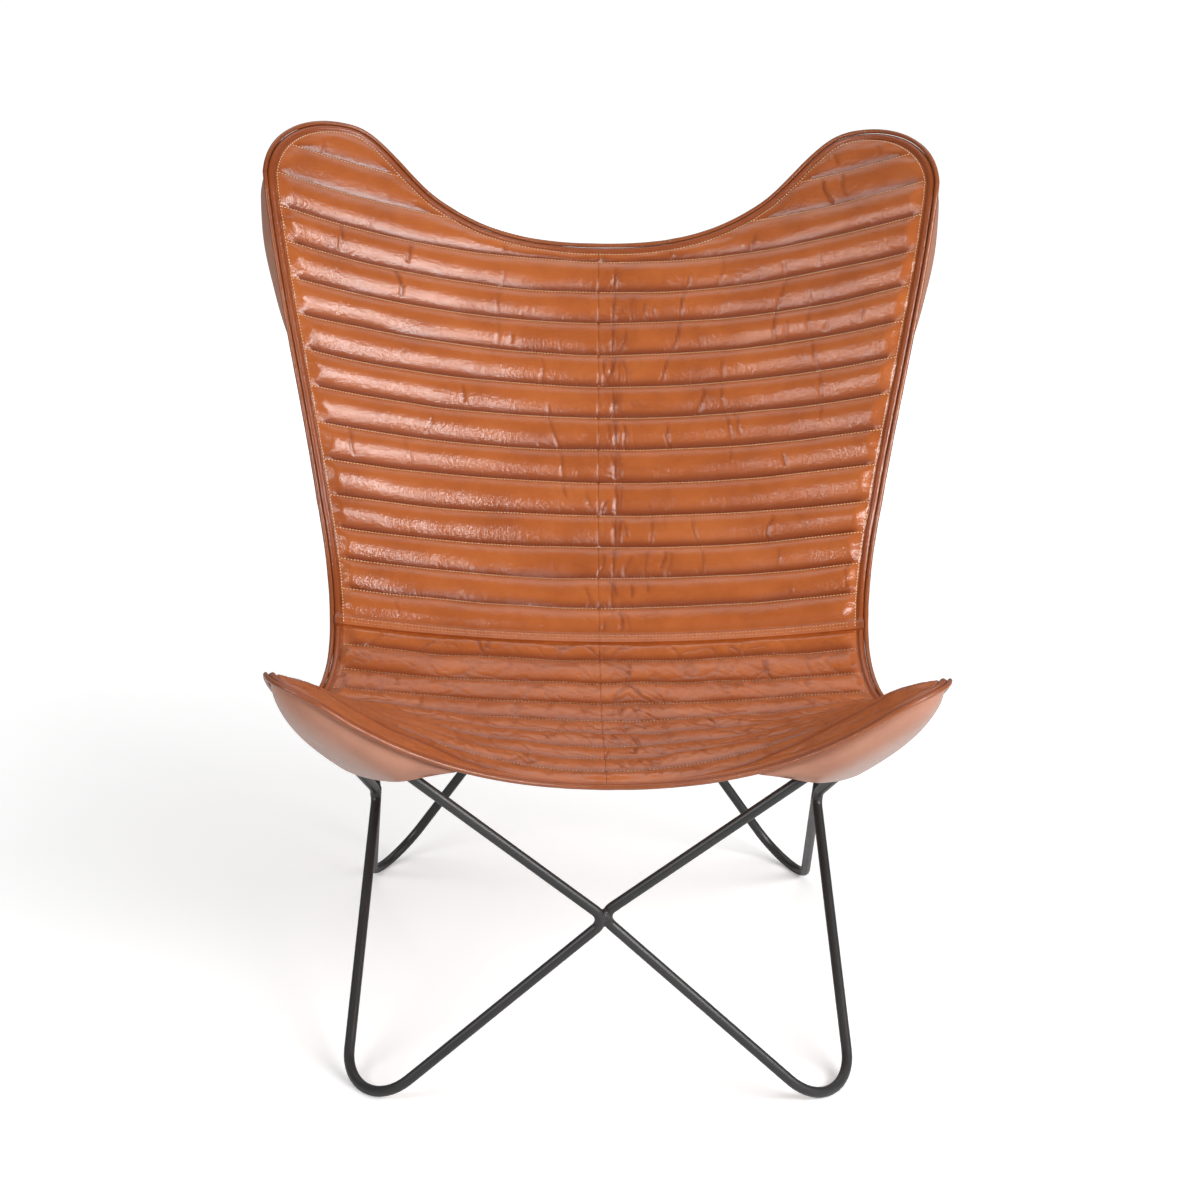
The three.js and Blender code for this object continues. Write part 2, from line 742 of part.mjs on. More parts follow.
// A pocket is a sheet sewn along the sling's outline that swells round the tip and narrows to a
// mouth behind the tip's two rods.
function pocketSheet(rim, inner, outer, behind, bulge) {
  const edge = new SteppedPath(rim);
  const steps = rim.length - 1;
  const last = rim[rim.length - 1];
  const halfway = (a, b) => a.clone().add(b).multiplyScalar(0.5);
  const mouth = new THREE.CatmullRomCurve3(
    [rim[0], halfway(rim[0], inner), inner, outer, halfway(outer, last), last]);
  const place = (a, b) => {
    const start = edge.getPoint(a);
    const end = mouth.getPointAt(a);
    const pulled = start.clone().lerp(end, 0.08);
    pulled.addScaledVector(behind, bulge * Math.sin(Math.PI * a) ** 0.6);
    return new THREE.QuadraticBezierCurve3(start, pulled, end).getPoint(b);
  };
  const normal = (a, b) => {
    const step = 0.01;
    const across = THREE.MathUtils.clamp(a, step * 3, 1 - step * 3);
    const down = THREE.MathUtils.clamp(b, step, 1 - step);
    const alongEdge = place(across + step, down).sub(place(across - step, down));
    const alongDepth = place(across, down + step).sub(place(across, down - step));
    return alongEdge.cross(alongDepth).normalize();
  };
  const layer = (offset) => (i, j) => {
    const a = j / steps;
    const b = i / pocketRows;
    return place(a, b).addScaledVector(normal(a, b), offset);
  };
  return gridSolid(pocketRows + 1, steps + 1, layer(pocketThickness), layer(0));
}

function addPocket(name, side, loop, outline, reach) {
  const bend = loop.bends[3];
  const corner = bend.centre.clone().addScaledVector(bend.inward, -bend.radius / Math.sin(bend.halfAngle));
  const outward = bend.towardBefore.clone().cross(bend.towardAfter).normalize();
  if (outward.dot(slingNormal(side * waistHalfWidth, outline[0].y)) > 0) outward.negate();
  corner.addScaledVector(outward, rodRadius + pocketRodGap);
  const inner = corner.clone().addScaledVector(bend.towardAfter, reach.inner);
  const outer = corner.clone().addScaledVector(bend.towardBefore, reach.outer);
  const rim = rimLine(outline, -pocketInset, -liningThickness - pocketRimGap);
  const innerFirst = rim[0].distanceTo(inner) < rim[0].distanceTo(outer);
  const mouth = innerFirst ? [inner, outer] : [outer, inner];
  const behind = slingNormal(side * waistHalfWidth, reach.station).negate();
  addPiece(name, pocketSheet(rim, ...mouth, behind, reach.swell), paleLeather());
}

function addPockets() {
  const top = topOutline();
  const front = frontOutline();
  const backLow = sling.lobeCentre - backPocketDrop;
  const backReaches = {
    inner: backPocketInner, outer: backPocketOuter, swell: backPocketSwell, station: sling.lobeCentre,
  };
  const frontReaches = {
    inner: frontPocketInner, outer: frontPocketOuter, swell: frontPocketSwell, station: cornerCentre,
  };
  for (const [name, side] of [['left', -1], ['right', 1]]) {
    const rear = loops['rear_' + name];
    const fore = loops['front_' + name];
    const backEdge = top.filter((point) => side * point.x > backPocketStart);
    const backSide = sideOutline(side, backLow, sling.lobeCentre);
    const seatEdge = front.filter((point) => side * point.x > frontPocketStart);
    const seatSide = sideOutline(side, cornerCentre, frontPocketEnd);
    let backRim = [...backEdge, ...backSide.slice(1)];
    let seatRim = [...seatSide.slice(0, -1), ...seatEdge];
    if (side < 0) {
      backRim = [...backSide.slice(0, -1), ...backEdge];
      seatRim = [...seatEdge, ...seatSide.slice(1)];
    }
    addPocket(`back_${name}_pocket`, side, rear, backRim, backReaches);
    addPocket(`front_${name}_pocket`, side, fore, seatRim, frontReaches);
  }
}

addLoops();
addWelds();
addPanels();
addPiping();
addPockets();

// The origin lies on the floor under the middle of the chair's box.
const box = new THREE.Box3().setFromObject(chair);
chair.position.set(0, -(box.min.y + box.max.y) / 2, 0);

export default chair;
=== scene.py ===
import math

import bpy
import numpy as np
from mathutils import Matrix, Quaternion, Vector
from mathutils.geometry import delaunay_2d_cdt
from mathutils.kdtree import KDTree


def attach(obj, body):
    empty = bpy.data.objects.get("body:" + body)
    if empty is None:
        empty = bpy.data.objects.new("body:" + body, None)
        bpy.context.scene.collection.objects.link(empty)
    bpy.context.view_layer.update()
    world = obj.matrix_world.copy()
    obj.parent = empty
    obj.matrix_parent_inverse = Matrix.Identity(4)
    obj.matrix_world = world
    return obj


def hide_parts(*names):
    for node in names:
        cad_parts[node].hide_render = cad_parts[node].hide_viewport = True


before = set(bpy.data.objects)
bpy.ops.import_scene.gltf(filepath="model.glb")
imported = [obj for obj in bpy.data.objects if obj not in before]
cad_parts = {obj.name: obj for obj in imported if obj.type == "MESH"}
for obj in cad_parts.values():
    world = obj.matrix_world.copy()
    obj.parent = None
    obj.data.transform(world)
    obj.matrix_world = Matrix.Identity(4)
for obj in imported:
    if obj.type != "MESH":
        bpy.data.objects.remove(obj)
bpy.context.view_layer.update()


# Camera: a long lens in front of the chair, 1.3 m above the floor and looking down at it, as in
# a catalogue picture. The chair's sizes are in millimetres with the front feet at y = 0.
middle_y = 305.768


def set_down(points):
    """Chair millimetres to the shared frame's metres."""
    return (np.asarray(points, float) - (0, middle_y, 0)) / 1000


camera = bpy.data.objects.new("camera", bpy.data.cameras.new("camera"))
bpy.context.collection.objects.link(camera)
bpy.context.scene.camera = camera
camera.data.lens = 78
camera.data.sensor_width = 36
camera_aim = (-1.55, 280, 443.1)
camera_distance = 2.74605
camera_yaw, camera_drop, camera_roll = math.radians(1.74), math.radians(18.58), math.radians(1.12)
looking = Vector((
    math.sin(camera_yaw) * math.cos(camera_drop),
    math.cos(camera_yaw) * math.cos(camera_drop),
    -math.sin(camera_drop),
))
camera.location = Vector(set_down(camera_aim)) - looking * camera_distance
level = looking.to_track_quat("-Z", "Y")
camera.rotation_euler = (level @ Quaternion((0, 0, 1), camera_roll)).to_euler()
camera.data.clip_end = 200


# Studio: a white floor that runs out to a white surround. The floor is plain near the chair, so
# that its shadow shows, and glows white further off.
def new_material(name):
    material = bpy.data.materials.new(name)
    material.use_nodes = True
    nodes = material.node_tree.nodes
    return material, nodes, material.node_tree.links, nodes["Principled BSDF"]


def spread(nodes, links, source, low, high, start=0.0, stop=1.0):
    """A value that runs from start to stop, made to run from low to high."""
    node = nodes.new("ShaderNodeMapRange")
    for socket, value in (("From Min", start), ("From Max", stop), ("To Min", low), ("To Max", high)):
        node.inputs[socket].default_value = value
    links.new(source, node.inputs["Value"])
    return node.outputs["Result"]


def seen_directly(nodes):
    """1 for what the camera sees, and 0 for light that falls on the chair."""
    return nodes.new("ShaderNodeLightPath").outputs["Is Camera Ray"]


floor_reach = 60
floor_corners = [(x * floor_reach, y * floor_reach, 0) for x, y in ((-1, -1), (1, -1), (1, 1), (-1, 1))]
floor_mesh = bpy.data.meshes.new("studio_floor")
floor_mesh.from_pydata(floor_corners, [], [(0, 1, 2, 3)])
floor = bpy.data.objects.new("studio_floor", floor_mesh)
bpy.context.collection.objects.link(floor)
white_floor, nodes, links, shader = new_material("white_floor")
shader.inputs["Base Color"].default_value = (0.88, 0.88, 0.88, 1)
shader.inputs["Roughness"].default_value = 0.9
shader.inputs["Specular IOR Level"].default_value = 0.0
shader.inputs["Emission Color"].default_value = (1, 1, 1, 1)
place = nodes.new("ShaderNodeTexCoord")
distance = nodes.new("ShaderNodeVectorMath")
distance.operation = "LENGTH"
links.new(place.outputs["Object"], distance.inputs[0])
glow = spread(nodes, links, distance.outputs["Value"], 0.3, 0.85, 0.3, 2.6)
seen_glow = nodes.new("ShaderNodeMath")
seen_glow.operation = "MULTIPLY"
links.new(glow, seen_glow.inputs[0])
links.new(seen_directly(nodes), seen_glow.inputs[1])
links.new(seen_glow.outputs[0], shader.inputs["Emission Strength"])
floor_mesh.materials.append(white_floor)

world = bpy.data.worlds.new("white_surround")
bpy.context.scene.world = world
world.use_nodes = True
nodes, links = world.node_tree.nodes, world.node_tree.links
surround = nodes["Background"]
surround.inputs["Color"].default_value = (1, 1, 1, 1)
links.new(spread(nodes, links, seen_directly(nodes), 0.22, 1.0), surround.inputs["Strength"])
bpy.context.scene.view_settings.view_transform = "Standard"


# Lamps: two soft boxes a little higher than the camera, the right one the stronger, which draw the
# long streaks of shine on the leather, and a wide dim one above and behind the chair.
lamp_aim = Vector((0, 0, 0.5))


def soft_box(name, azimuth, elevation, reach, width, height, watts):
    lamp = bpy.data.lights.new(name, "AREA")
    lamp.shape = "RECTANGLE"
    lamp.size, lamp.size_y = width, height
    lamp.energy = watts
    a, e = math.radians(azimuth), math.radians(elevation)
    away = Vector((math.sin(a) * math.cos(e), -math.cos(a) * math.cos(e), math.sin(e)))
    box = bpy.data.objects.new(name, lamp)
    bpy.context.collection.objects.link(box)
    box.location = lamp_aim + away * reach
    box.rotation_euler = (-away).to_track_quat("-Z", "Y").to_euler()


soft_box("right_soft_box", azimuth=46, elevation=24, reach=2.7, width=2.2, height=0.75, watts=80)
soft_box("left_soft_box", azimuth=-46, elevation=24, reach=2.9, width=1.7, height=0.42, watts=31)
soft_box("top_soft_box", azimuth=180, elevation=60, reach=3.0, width=3.2, height=2.4, watts=27)


# Rod loops: four closed loops of 11 mm steel rod, each bent at a crossing, a foot, a side crossing
# and a tip, closed by a butt weld and powder coated satin black. They stand on flat-worn feet.
rod_radius, rod_sides = 5.5, 24
fitting_rounds, loop_rounds = 30, 6
crossing_bend, foot_bend, tip_bend = 13, 55, 42
foot_flat = 0.9
front_crossing = (10, 203)
rear_crossing = (605, 330)
side_crossing = np.array((241.0, 300.0, 214.0))
rod_lap = 3.6
rod_gap = 0.3
front_foot = (262, 0)
rear_foot = (266, 608)
front_tip = np.array((296.0, -8.0, 440.0))
back_tip_x, back_tip_z = 330.0, 868.0
back_rod_lean = math.radians(25.78)
back_tip_y = side_crossing[1] + (back_tip_z - side_crossing[2]) * math.tan(back_rod_lean)
back_tip = np.array((back_tip_x, back_tip_y, back_tip_z))


def unit(v):
    return v / np.linalg.norm(v)


class Bend:
    """The round bend of the rod at a corner between two other corners."""

    def __init__(self, before, corner, after, radius):
        self.radius = radius
        self.to_before, self.to_after = unit(before - corner), unit(after - corner)
        self.half = math.acos(np.clip(self.to_before @ self.to_after, -1, 1)) / 2
        self.inward = unit(self.to_before + self.to_after)
        self.corner = corner
        self.centre = corner + self.inward * radius / math.sin(self.half)
        self.first = unit(corner + self.to_before * radius / math.tan(self.half) - self.centre)
        self.second = -self.to_before
        self.sweep = math.pi - 2 * self.half

    def at(self, share):
        angle = self.sweep * share
        turn = self.first * math.cos(angle) + self.second * math.sin(angle)
        return self.centre + turn * self.radius


def corner_from_apex(before, apex, after, radius):
    corner = apex.copy()
    for _ in range(fitting_rounds):
        bend = Bend(before, corner, after, radius)
        corner = apex - bend.inward * radius * (1 / math.sin(bend.half) - 1)
    return corner


def foot_corner(before, x, y, after):
    corner = np.array((x, y, 0.0))
    for _ in range(fitting_rounds):
        bend = Bend(before, corner, after, foot_bend)
        lowest = bend.centre[2] - foot_bend * math.hypot(bend.first[2], bend.second[2])
        corner[2] += rod_radius - foot_flat - lowest
    return corner


def bends_of_loop(side, end, crossing_place, foot_place, tip_place):
    across = 2 * rod_radius - rod_lap
    along = math.sqrt((2 * rod_radius + rod_gap) ** 2 - across ** 2)
    crossing = np.array((side * across / 2, crossing_place[0] + side * along / 2, crossing_place[1]))
    flank = side_crossing * (side, 1, 1) + (0, end * (2 * rod_radius + rod_gap) / 2, 0)
    tip = tip_place * (side, 1, 1)
    foot = np.array((side * foot_place[0], foot_place[1], 0.0))
    corners = [crossing, foot, flank, tip]
    for _ in range(loop_rounds):
        corners[1] = foot_corner(corners[0], foot[0], foot[1], corners[2])
        corners[3] = corner_from_apex(corners[2], tip, corners[0], tip_bend)
        corners[0] = corner_from_apex(corners[3], crossing, corners[1], crossing_bend)
        corners[2] = corner_from_apex(corners[1], flank, corners[3], crossing_bend)
    radii = (crossing_bend, foot_bend, crossing_bend, tip_bend)
    return [Bend(corners[i - 1], corners[i], corners[(i + 1) % 4], radii[i]) for i in range(4)]


def rod_line(bends, bend_steps=16, run_step=14.0):
    """Points along the middle of a closed loop, crowded in the bends."""
    points = []
    for i, bend in enumerate(bends):
        points += [bend.at(k / bend_steps) for k in range(bend_steps + 1)]
        start, stop = bend.at(1), bends[(i + 1) % 4].at(0)
        count = max(int(np.linalg.norm(stop - start) / run_step), 1)
        points += [start + (stop - start) * k / count for k in range(1, count)]
    return np.array(points)


def ring_faces(count, sides, closed):
    """Faces of a tube that is given as rings of points. A tube that isn't closed ends flat."""
    faces = []
    for k in range(count if closed else count - 1):
        a, b = k * sides, (k + 1) % count * sides
        for j in range(sides):
            i = (j + 1) % sides
            faces.append((a + j, a + i, b + i, b + j))
    if not closed:
        faces.append(tuple(range(sides))[::-1])
        faces.append(tuple(range((count - 1) * sides, count * sides)))
    return faces


def sweep_tube(line, radii, sides, closed):
    """A round tube along a line, without twist."""
    count = len(line)
    ahead = np.roll(line, -1, 0) - np.roll(line, 1, 0)
    if not closed:
        ahead[0], ahead[-1] = line[1] - line[0], line[-1] - line[-2]
    ahead /= np.linalg.norm(ahead, axis=1)[:, None]
    side = unit(np.cross(ahead[0], (0.31, 0.17, 0.93)))
    sides_along = []
    for k in range(count):
        side = unit(side - ahead[k] * (side @ ahead[k]))
        sides_along.append(side)
    sides_along = np.array(sides_along)
    if closed:
        last = unit(sides_along[-1] - ahead[0] * (sides_along[-1] @ ahead[0]))
        other = np.cross(ahead[0], sides_along[0])
        drift = math.atan2(last @ other, last @ sides_along[0])
    else:
        drift = 0.0
    other_along = np.cross(ahead, sides_along)
    turn = np.linspace(0, 2 * math.pi, sides, endpoint=False)[None, :]
    turn = turn - drift * (np.arange(count) / count)[:, None]
    rings = line[:, None] + radii[:, None, None] * (
        np.cos(turn)[..., None] * sides_along[:, None] + np.sin(turn)[..., None] * other_along[:, None]
    )
    return rings.reshape(-1, 3), ring_faces(count, sides, closed)


def make_piece(name, points, faces, material, slot, sharp=40):
    """A mesh piece in the shared frame that rides on the chair."""
    mesh = bpy.data.meshes.new(name)
    mesh.from_pydata(set_down(points).tolist(), [], faces)
    mesh.validate()
    mesh.polygons.foreach_set("use_smooth", [True] * len(mesh.polygons))
    mesh.set_sharp_from_angle(angle=math.radians(sharp))
    mesh.materials.append(material)
    piece = bpy.data.objects.new(name, mesh)
    bpy.context.collection.objects.link(piece)
    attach(piece, "root")
    return piece


def textured(nodes, links, scale, kind="ShaderNodeTexNoise", output="Fac", **sockets):
    """The value of a texture in the piece's own metres, with the given scale and inputs."""
    texture = nodes.new(kind)
    coordinates = nodes.new("ShaderNodeTexCoord")
    links.new(coordinates.outputs["Object"], texture.inputs["Vector"])
    texture.inputs["Scale"].default_value = scale
    for socket, value in sockets.items():
        texture.inputs[socket].default_value = value
    return texture.outputs[output]


def ramp(nodes, links, source, stops):
    """A colour ramp of (place, colour) stops driven by a value."""
    node = nodes.new("ShaderNodeValToRGB")
    elements = node.color_ramp.elements
    while len(elements) < len(stops):
        elements.new(0.5)
    for element, (place, colour) in zip(elements, stops):
        element.position = place
        element.color = (*colour, 1)
    links.new(source, node.inputs["Fac"])
    return node.outputs["Color"]


def bump_over(nodes, links, height, strength, depth, below=None):
    node = nodes.new("ShaderNodeBump")
    node.inputs["Strength"].default_value = strength
    node.inputs["Distance"].default_value = depth
    links.new(height, node.inputs["Height"])
    if below is not None:
        links.new(below, node.inputs["Normal"])
    return node.outputs["Normal"]


black_coat, nodes, links, shader = new_material("black_powder_coat")
cloudy = textured(nodes, links, 9.0, Detail=4.0)
links.new(
    ramp(nodes, links, cloudy, [(0.3, (0.016, 0.0155, 0.016)), (0.7, (0.028, 0.027, 0.027))]),
    shader.inputs["Base Color"],
)
rubbed = textured(nodes, links, 70.0, Detail=3.0)
links.new(spread(nodes, links, rubbed, 0.3, 0.46), shader.inputs["Roughness"])
orange_peel = textured(nodes, links, 900.0, Detail=2.0)
links.new(bump_over(nodes, links, orange_peel, 0.12, 0.0004), shader.inputs["Normal"])

loop_places = {
    "front_left": (-1, -1, front_crossing, front_foot, front_tip),
    "front_right": (1, -1, front_crossing, front_foot, front_tip),
    "rear_left": (-1, 1, rear_crossing, rear_foot, back_tip),
    "rear_right": (1, 1, rear_crossing, rear_foot, back_tip),
}
loops = {name: bends_of_loop(*where) for name, where in loop_places.items()}
rod_lines = {name: rod_line(bends) for name, bends in loops.items()}
for name, line in rod_lines.items():
    points, faces = sweep_tube(line, np.full(len(line), rod_radius), rod_sides, True)
    points[:, 2] = np.maximum(points[:, 2], 0)
    rod = make_piece(name + "_rod", points, faces, black_coat, "frame_steel")
    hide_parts(name + "_loop")


# Welds: where two loops touch, a bead of weld metal fills the groove between their bends. It was
# run upward in short steps, so it is rippled, and it carries the same black coat as the rods.
weld_coat, nodes, links, shader = new_material("black_coat_over_weld")
spatter = textured(nodes, links, 240.0, Detail=4.0)
links.new(
    ramp(nodes, links, spatter, [(0.35, (0.014, 0.0135, 0.014)), (0.7, (0.034, 0.032, 0.031))]),
    shader.inputs["Base Color"],
)
shader.inputs["Roughness"].default_value = 0.42
links.new(bump_over(nodes, links, spatter, 0.35, 0.0006), shader.inputs["Normal"])

bead_radius, bead_half_height = 6.1, 9.3
ripple_height, ripple_rate = 0.22, 19
bead_lobes, bead_tilt = 0.25, 0.5


def weld_bead(middle):
    rings, sides = 26, 28
    points = []
    for k in range(rings):
        share = 2 * k / (rings - 1) - 1
        body = math.sqrt(max(1 - abs(share) ** 3.2, 0.02))
        ripple = ripple_height * math.sin(share * ripple_rate)
        for j in range(sides):
            turn = 2 * math.pi * j / sides
            radius = bead_radius * body + ripple * body + bead_lobes * math.sin(3 * turn + 2.1 * share)
            height = share * bead_half_height + bead_tilt * math.cos(turn)
            points.append((radius * math.cos(turn), radius * math.sin(turn), height))
    return np.array(points) + middle, ring_faces(rings, sides, False)


weld_middles = {
    "front": (0, front_crossing[0], front_crossing[1]),
    "rear": (0, rear_crossing[0], rear_crossing[1]),
    "left": side_crossing * (-1, 1, 1),
    "right": side_crossing,
}
for name, middle in weld_middles.items():
    bead = make_piece(name + "_bead", *weld_bead(np.array(middle, float)), weld_coat, "weld_steel")
    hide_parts(name + "_weld")


# Lining: the sling's underside, two panels of plain tan leather cut to the sling's outline. The
# sling hangs from the four tips, so it is a straight seat, a bend and a straight back, hollow across.
front_half, back_half, waist_half = 324.0, 370.0, 284.0
waist_station, flattest_station = 310.0, 250.0
front_edge = np.array((-4.0, 347.0))
seat_angle, back_angle = math.radians(-3.4), 0.921816
seat_run, seat_bend = 153.42, 351.0
back_start = seat_run + seat_bend * (back_angle - seat_angle)
front_tip_station = -4.007
dip_station = 836.482
lobe_radius, lobe_height = 88.0, 103.0
lobe_centre = dip_station + lobe_height - lobe_radius
front_rise, waist_rise, back_rise = 135.113, 18.0, 143.0
shoulder_x, shoulder_rise, shoulder_slope = 190.0, 38.0, 0.6
front_reach, front_corner = 48.0, 52.0
outline_step = 4.0
past_front, past_top, past_side = -60.0, 1000.0, 372.0
corner_centre = front_corner - front_reach
corner_roll, corner_roll_width, corner_roll_end = 24.0, 60.0, 260.0
seat_length = 350.0


def smooth_share(t):
    t = np.clip(t, 0, 1)
    return t * t * (3 - 2 * t)


def centre_line(s):
    """Side view of the sling: y, z and slope at a station measured along it."""
    angle = np.clip(seat_angle + (s - seat_run) / seat_bend, seat_angle, back_angle)
    straight = np.minimum(s, seat_run)
    rest = np.maximum(s - back_start, 0)
    y = front_edge[0] + straight * math.cos(seat_angle) + rest * math.cos(back_angle)
    z = front_edge[1] + straight * math.sin(seat_angle) + rest * math.sin(back_angle)
    y = y + seat_bend * (np.sin(angle) - math.sin(seat_angle))
    z = z + seat_bend * (math.cos(seat_angle) - np.cos(angle))
    return y, z, angle


def half_width(s):
    toward_front = waist_half + (front_half - waist_half) * smooth_share((waist_station - s) / waist_station)
    share = np.clip((s - waist_station) / (lobe_centre - waist_station), 0, 1)
    toward_back = waist_half + (back_half - waist_half) * (share ** 1.6 + smooth_share(share)) / 2
    return np.where(s < waist_station, toward_front, toward_back)


def soft_ramp(t):
    rounding = 0.15
    t = np.clip(t, 0, 1)
    return (np.hypot(t, rounding) - rounding) / (math.hypot(1, rounding) - rounding)


def edge_rise(s):
    ahead = (flattest_station - s) / (flattest_station - front_tip_station)
    behind = (s - flattest_station) / (dip_station - flattest_station)
    front = waist_rise + (front_rise - waist_rise) * soft_ramp(ahead) ** 1.25
    back = waist_rise + (back_rise - waist_rise) * soft_ramp(behind)
    return np.where(s < flattest_station, front, back)


def corner_drop(x, s):
    """How far the edges of the seat roll down over the front tips."""
    near_edge = np.maximum(np.abs(x) - half_width(s) + corner_roll_width, 0) / corner_roll_width
    return corner_roll * near_edge ** 2 * smooth_share((corner_roll_end - s) / corner_roll_end)


def sling_at(x, s):
    """A point of the lining's upper side: x across, s along the sling."""
    y, z, angle = centre_line(s)
    lift = edge_rise(s) * (x / half_width(s)) ** 2 - corner_drop(x, s)
    return np.stack([x + 0 * s, y - np.sin(angle) * lift, z + np.cos(angle) * lift], -1)


def sling_normal(x, s):
    step = 0.5
    along_x = sling_at(x + step, s) - sling_at(x - step, s)
    along_s = sling_at(x, s + step) - sling_at(x, s - step)
    normal = np.cross(along_x, along_s)
    return normal / np.linalg.norm(normal, axis=-1, keepdims=True)


def sling_layer(x, s, height):
    return sling_at(x, s) + sling_normal(x, s) * np.asarray(height)[..., None]


def ease(x, x0, y0, slope0, x1, y1, slope1):
    t = (x - x0) / (x1 - x0)
    span = x1 - x0
    start = (1 + 2 * t) * (1 - t) ** 2 * y0 + t * (1 - t) ** 2 * span * slope0
    return start + t ** 2 * (3 - 2 * t) * y1 + t ** 2 * (t - 1) * span * slope1


def top_edge(x):
    lobe_x = back_half - lobe_radius
    if x < shoulder_x:
        return dip_station + ease(x, 0, 0, 0, shoulder_x, shoulder_rise, shoulder_slope)
    return dip_station + ease(x, shoulder_x, shoulder_rise, shoulder_slope, lobe_x, lobe_height, 0)


def front_line(x):
    return ease(x, 0, 0, 0, front_half - front_corner, -front_reach, 0)


def run_lengths(line):
    """The length along a line up to each of its points."""
    return np.concatenate([[0], np.cumsum(np.linalg.norm(np.diff(line, axis=0), axis=1))])


def at_lengths(marks, lengths, values):
    return np.stack([np.interp(marks, lengths, values[:, k]) for k in range(values.shape[1])], -1)


def spaced(line, step):
    """The line's points set an even step apart."""
    line = np.asarray(line, float)
    lengths = run_lengths(line)
    count = max(int(round(lengths[-1] / step)), 1)
    return at_lengths(np.linspace(0, lengths[-1], count + 1), lengths, line)


def beside(line, out):
    """A line of (x, s) moved outward; the sling lies on the line's left."""
    ahead = np.gradient(line, axis=0)
    ahead /= np.linalg.norm(ahead, axis=1)[:, None]
    return line + out * np.stack([ahead[:, 1], -ahead[:, 0]], 1)


def right_half_edges():
    """The right half's outline as lines of (x, s): the front edge, the side and the top edge."""
    corner_x, lobe_x = front_half - front_corner, back_half - lobe_radius
    quarter = np.linspace(0, math.pi / 2, 24)
    front = [(x, front_line(x)) for x in np.linspace(0, corner_x, 60)]
    front += [
        (corner_x + front_corner * math.sin(t), corner_centre - front_corner * math.cos(t))
        for t in quarter
    ]
    stations = np.linspace(corner_centre, lobe_centre, 160)
    side = np.stack([half_width(stations), stations], 1)
    top = [(lobe_x + lobe_radius * math.cos(t), lobe_centre + lobe_radius * math.sin(t)) for t in quarter]
    top += [(x, top_edge(x)) for x in np.linspace(lobe_x, 0, 60)]
    return [spaced(run, outline_step) for run in (front, side, top)]


front_run, side_run, top_run = right_half_edges()
sling_rim = np.concatenate([front_run[:-1], side_run[:-1], top_run])


def half_outline(low, high, side, seam_x):
    """A closed outline of one half between two stations, anticlockwise seen from above."""
    inside = sling_rim[(sling_rim[:, 1] > low + 1) & (sling_rim[:, 1] < high - 1)]
    inside = inside[inside[:, 0] > seam_x + 1]
    first = [] if low < -1 else [(half_width(np.array(low)), low)]
    last = [] if high > dip_station else [(half_width(np.array(high)), high)]
    bottom_s = max(low, front_line(seam_x)) if low < -1 else low
    top_s = min(high, top_edge(seam_x)) if high > dip_station else high
    across_low = [] if low < -1 else spaced([(seam_x, low), first[0]], outline_step)[1:-1].tolist()
    across_high = [] if high > dip_station else spaced([last[0], (seam_x, high)], outline_step)[1:-1].tolist()
    seam = spaced([(seam_x, top_s), (seam_x, bottom_s)], outline_step)[:-1].tolist()
    ring = across_low + first + inside.tolist() + last + across_high + seam
    ring = np.array([(seam_x, bottom_s)] + ring)
    return ring if side > 0 else (ring * (-1, 1))[::-1]


def inside_ring(points, ring):
    x, y = points[:, :1], points[:, 1:]
    x0, y0 = ring[:, 0], ring[:, 1]
    x1, y1 = np.roll(x0, -1), np.roll(y0, -1)
    crosses = (y0 > y) != (y1 > y)
    with np.errstate(divide="ignore", invalid="ignore"):
        at = (x1 - x0) * (y - y0) / (y1 - y0) + x0
    return (crosses & (x < at)).sum(1) % 2 == 1


def room_to(points, ring):
    """The distance from each point to the nearest point of a line."""
    tree = KDTree(len(ring))
    for k, p in enumerate(ring):
        tree.insert((p[0], p[1], 0), k)
    tree.balance()
    return np.array([tree.find((p[0], p[1], 0))[2] for p in points])


def crossings(columns, rows):
    return np.stack(np.meshgrid(columns, rows), -1).reshape(-1, 2)


def fill_ring(ring, grid, keep_off):
    """Triangles that fill a ring through the given points inside it."""
    grid = grid[inside_ring(grid, ring)]
    grid = grid[room_to(grid, spaced(np.vstack([ring, ring[:1]]), 1.0)) > keep_off]
    points = np.vstack([ring, grid])
    edges = [(k, (k + 1) % len(ring)) for k in range(len(ring))]
    found = delaunay_2d_cdt([Vector(p) for p in points], edges, [], 1, 1e-6, True)
    source = np.array([came_from[0] for came_from in found[3]])
    faces = source[np.array(found[2])]
    faces = faces[inside_ring(points[faces].mean(1), ring)]
    return points, [tuple(face) for face in faces.tolist()]


def closed_panel(upper, upper_faces, lower, lower_faces, rim):
    """One closed body from an upper and a lower sheet, whose rims are points of the same numbers."""
    count = len(upper)
    faces = list(upper_faces)
    faces += [tuple(count + k for k in face)[::-1] for face in lower_faces]
    faces += [(n, k, count + k, count + n) for k, n in zip(rim, rim[1:] + rim[:1])]
    return np.vstack([upper, lower]), faces


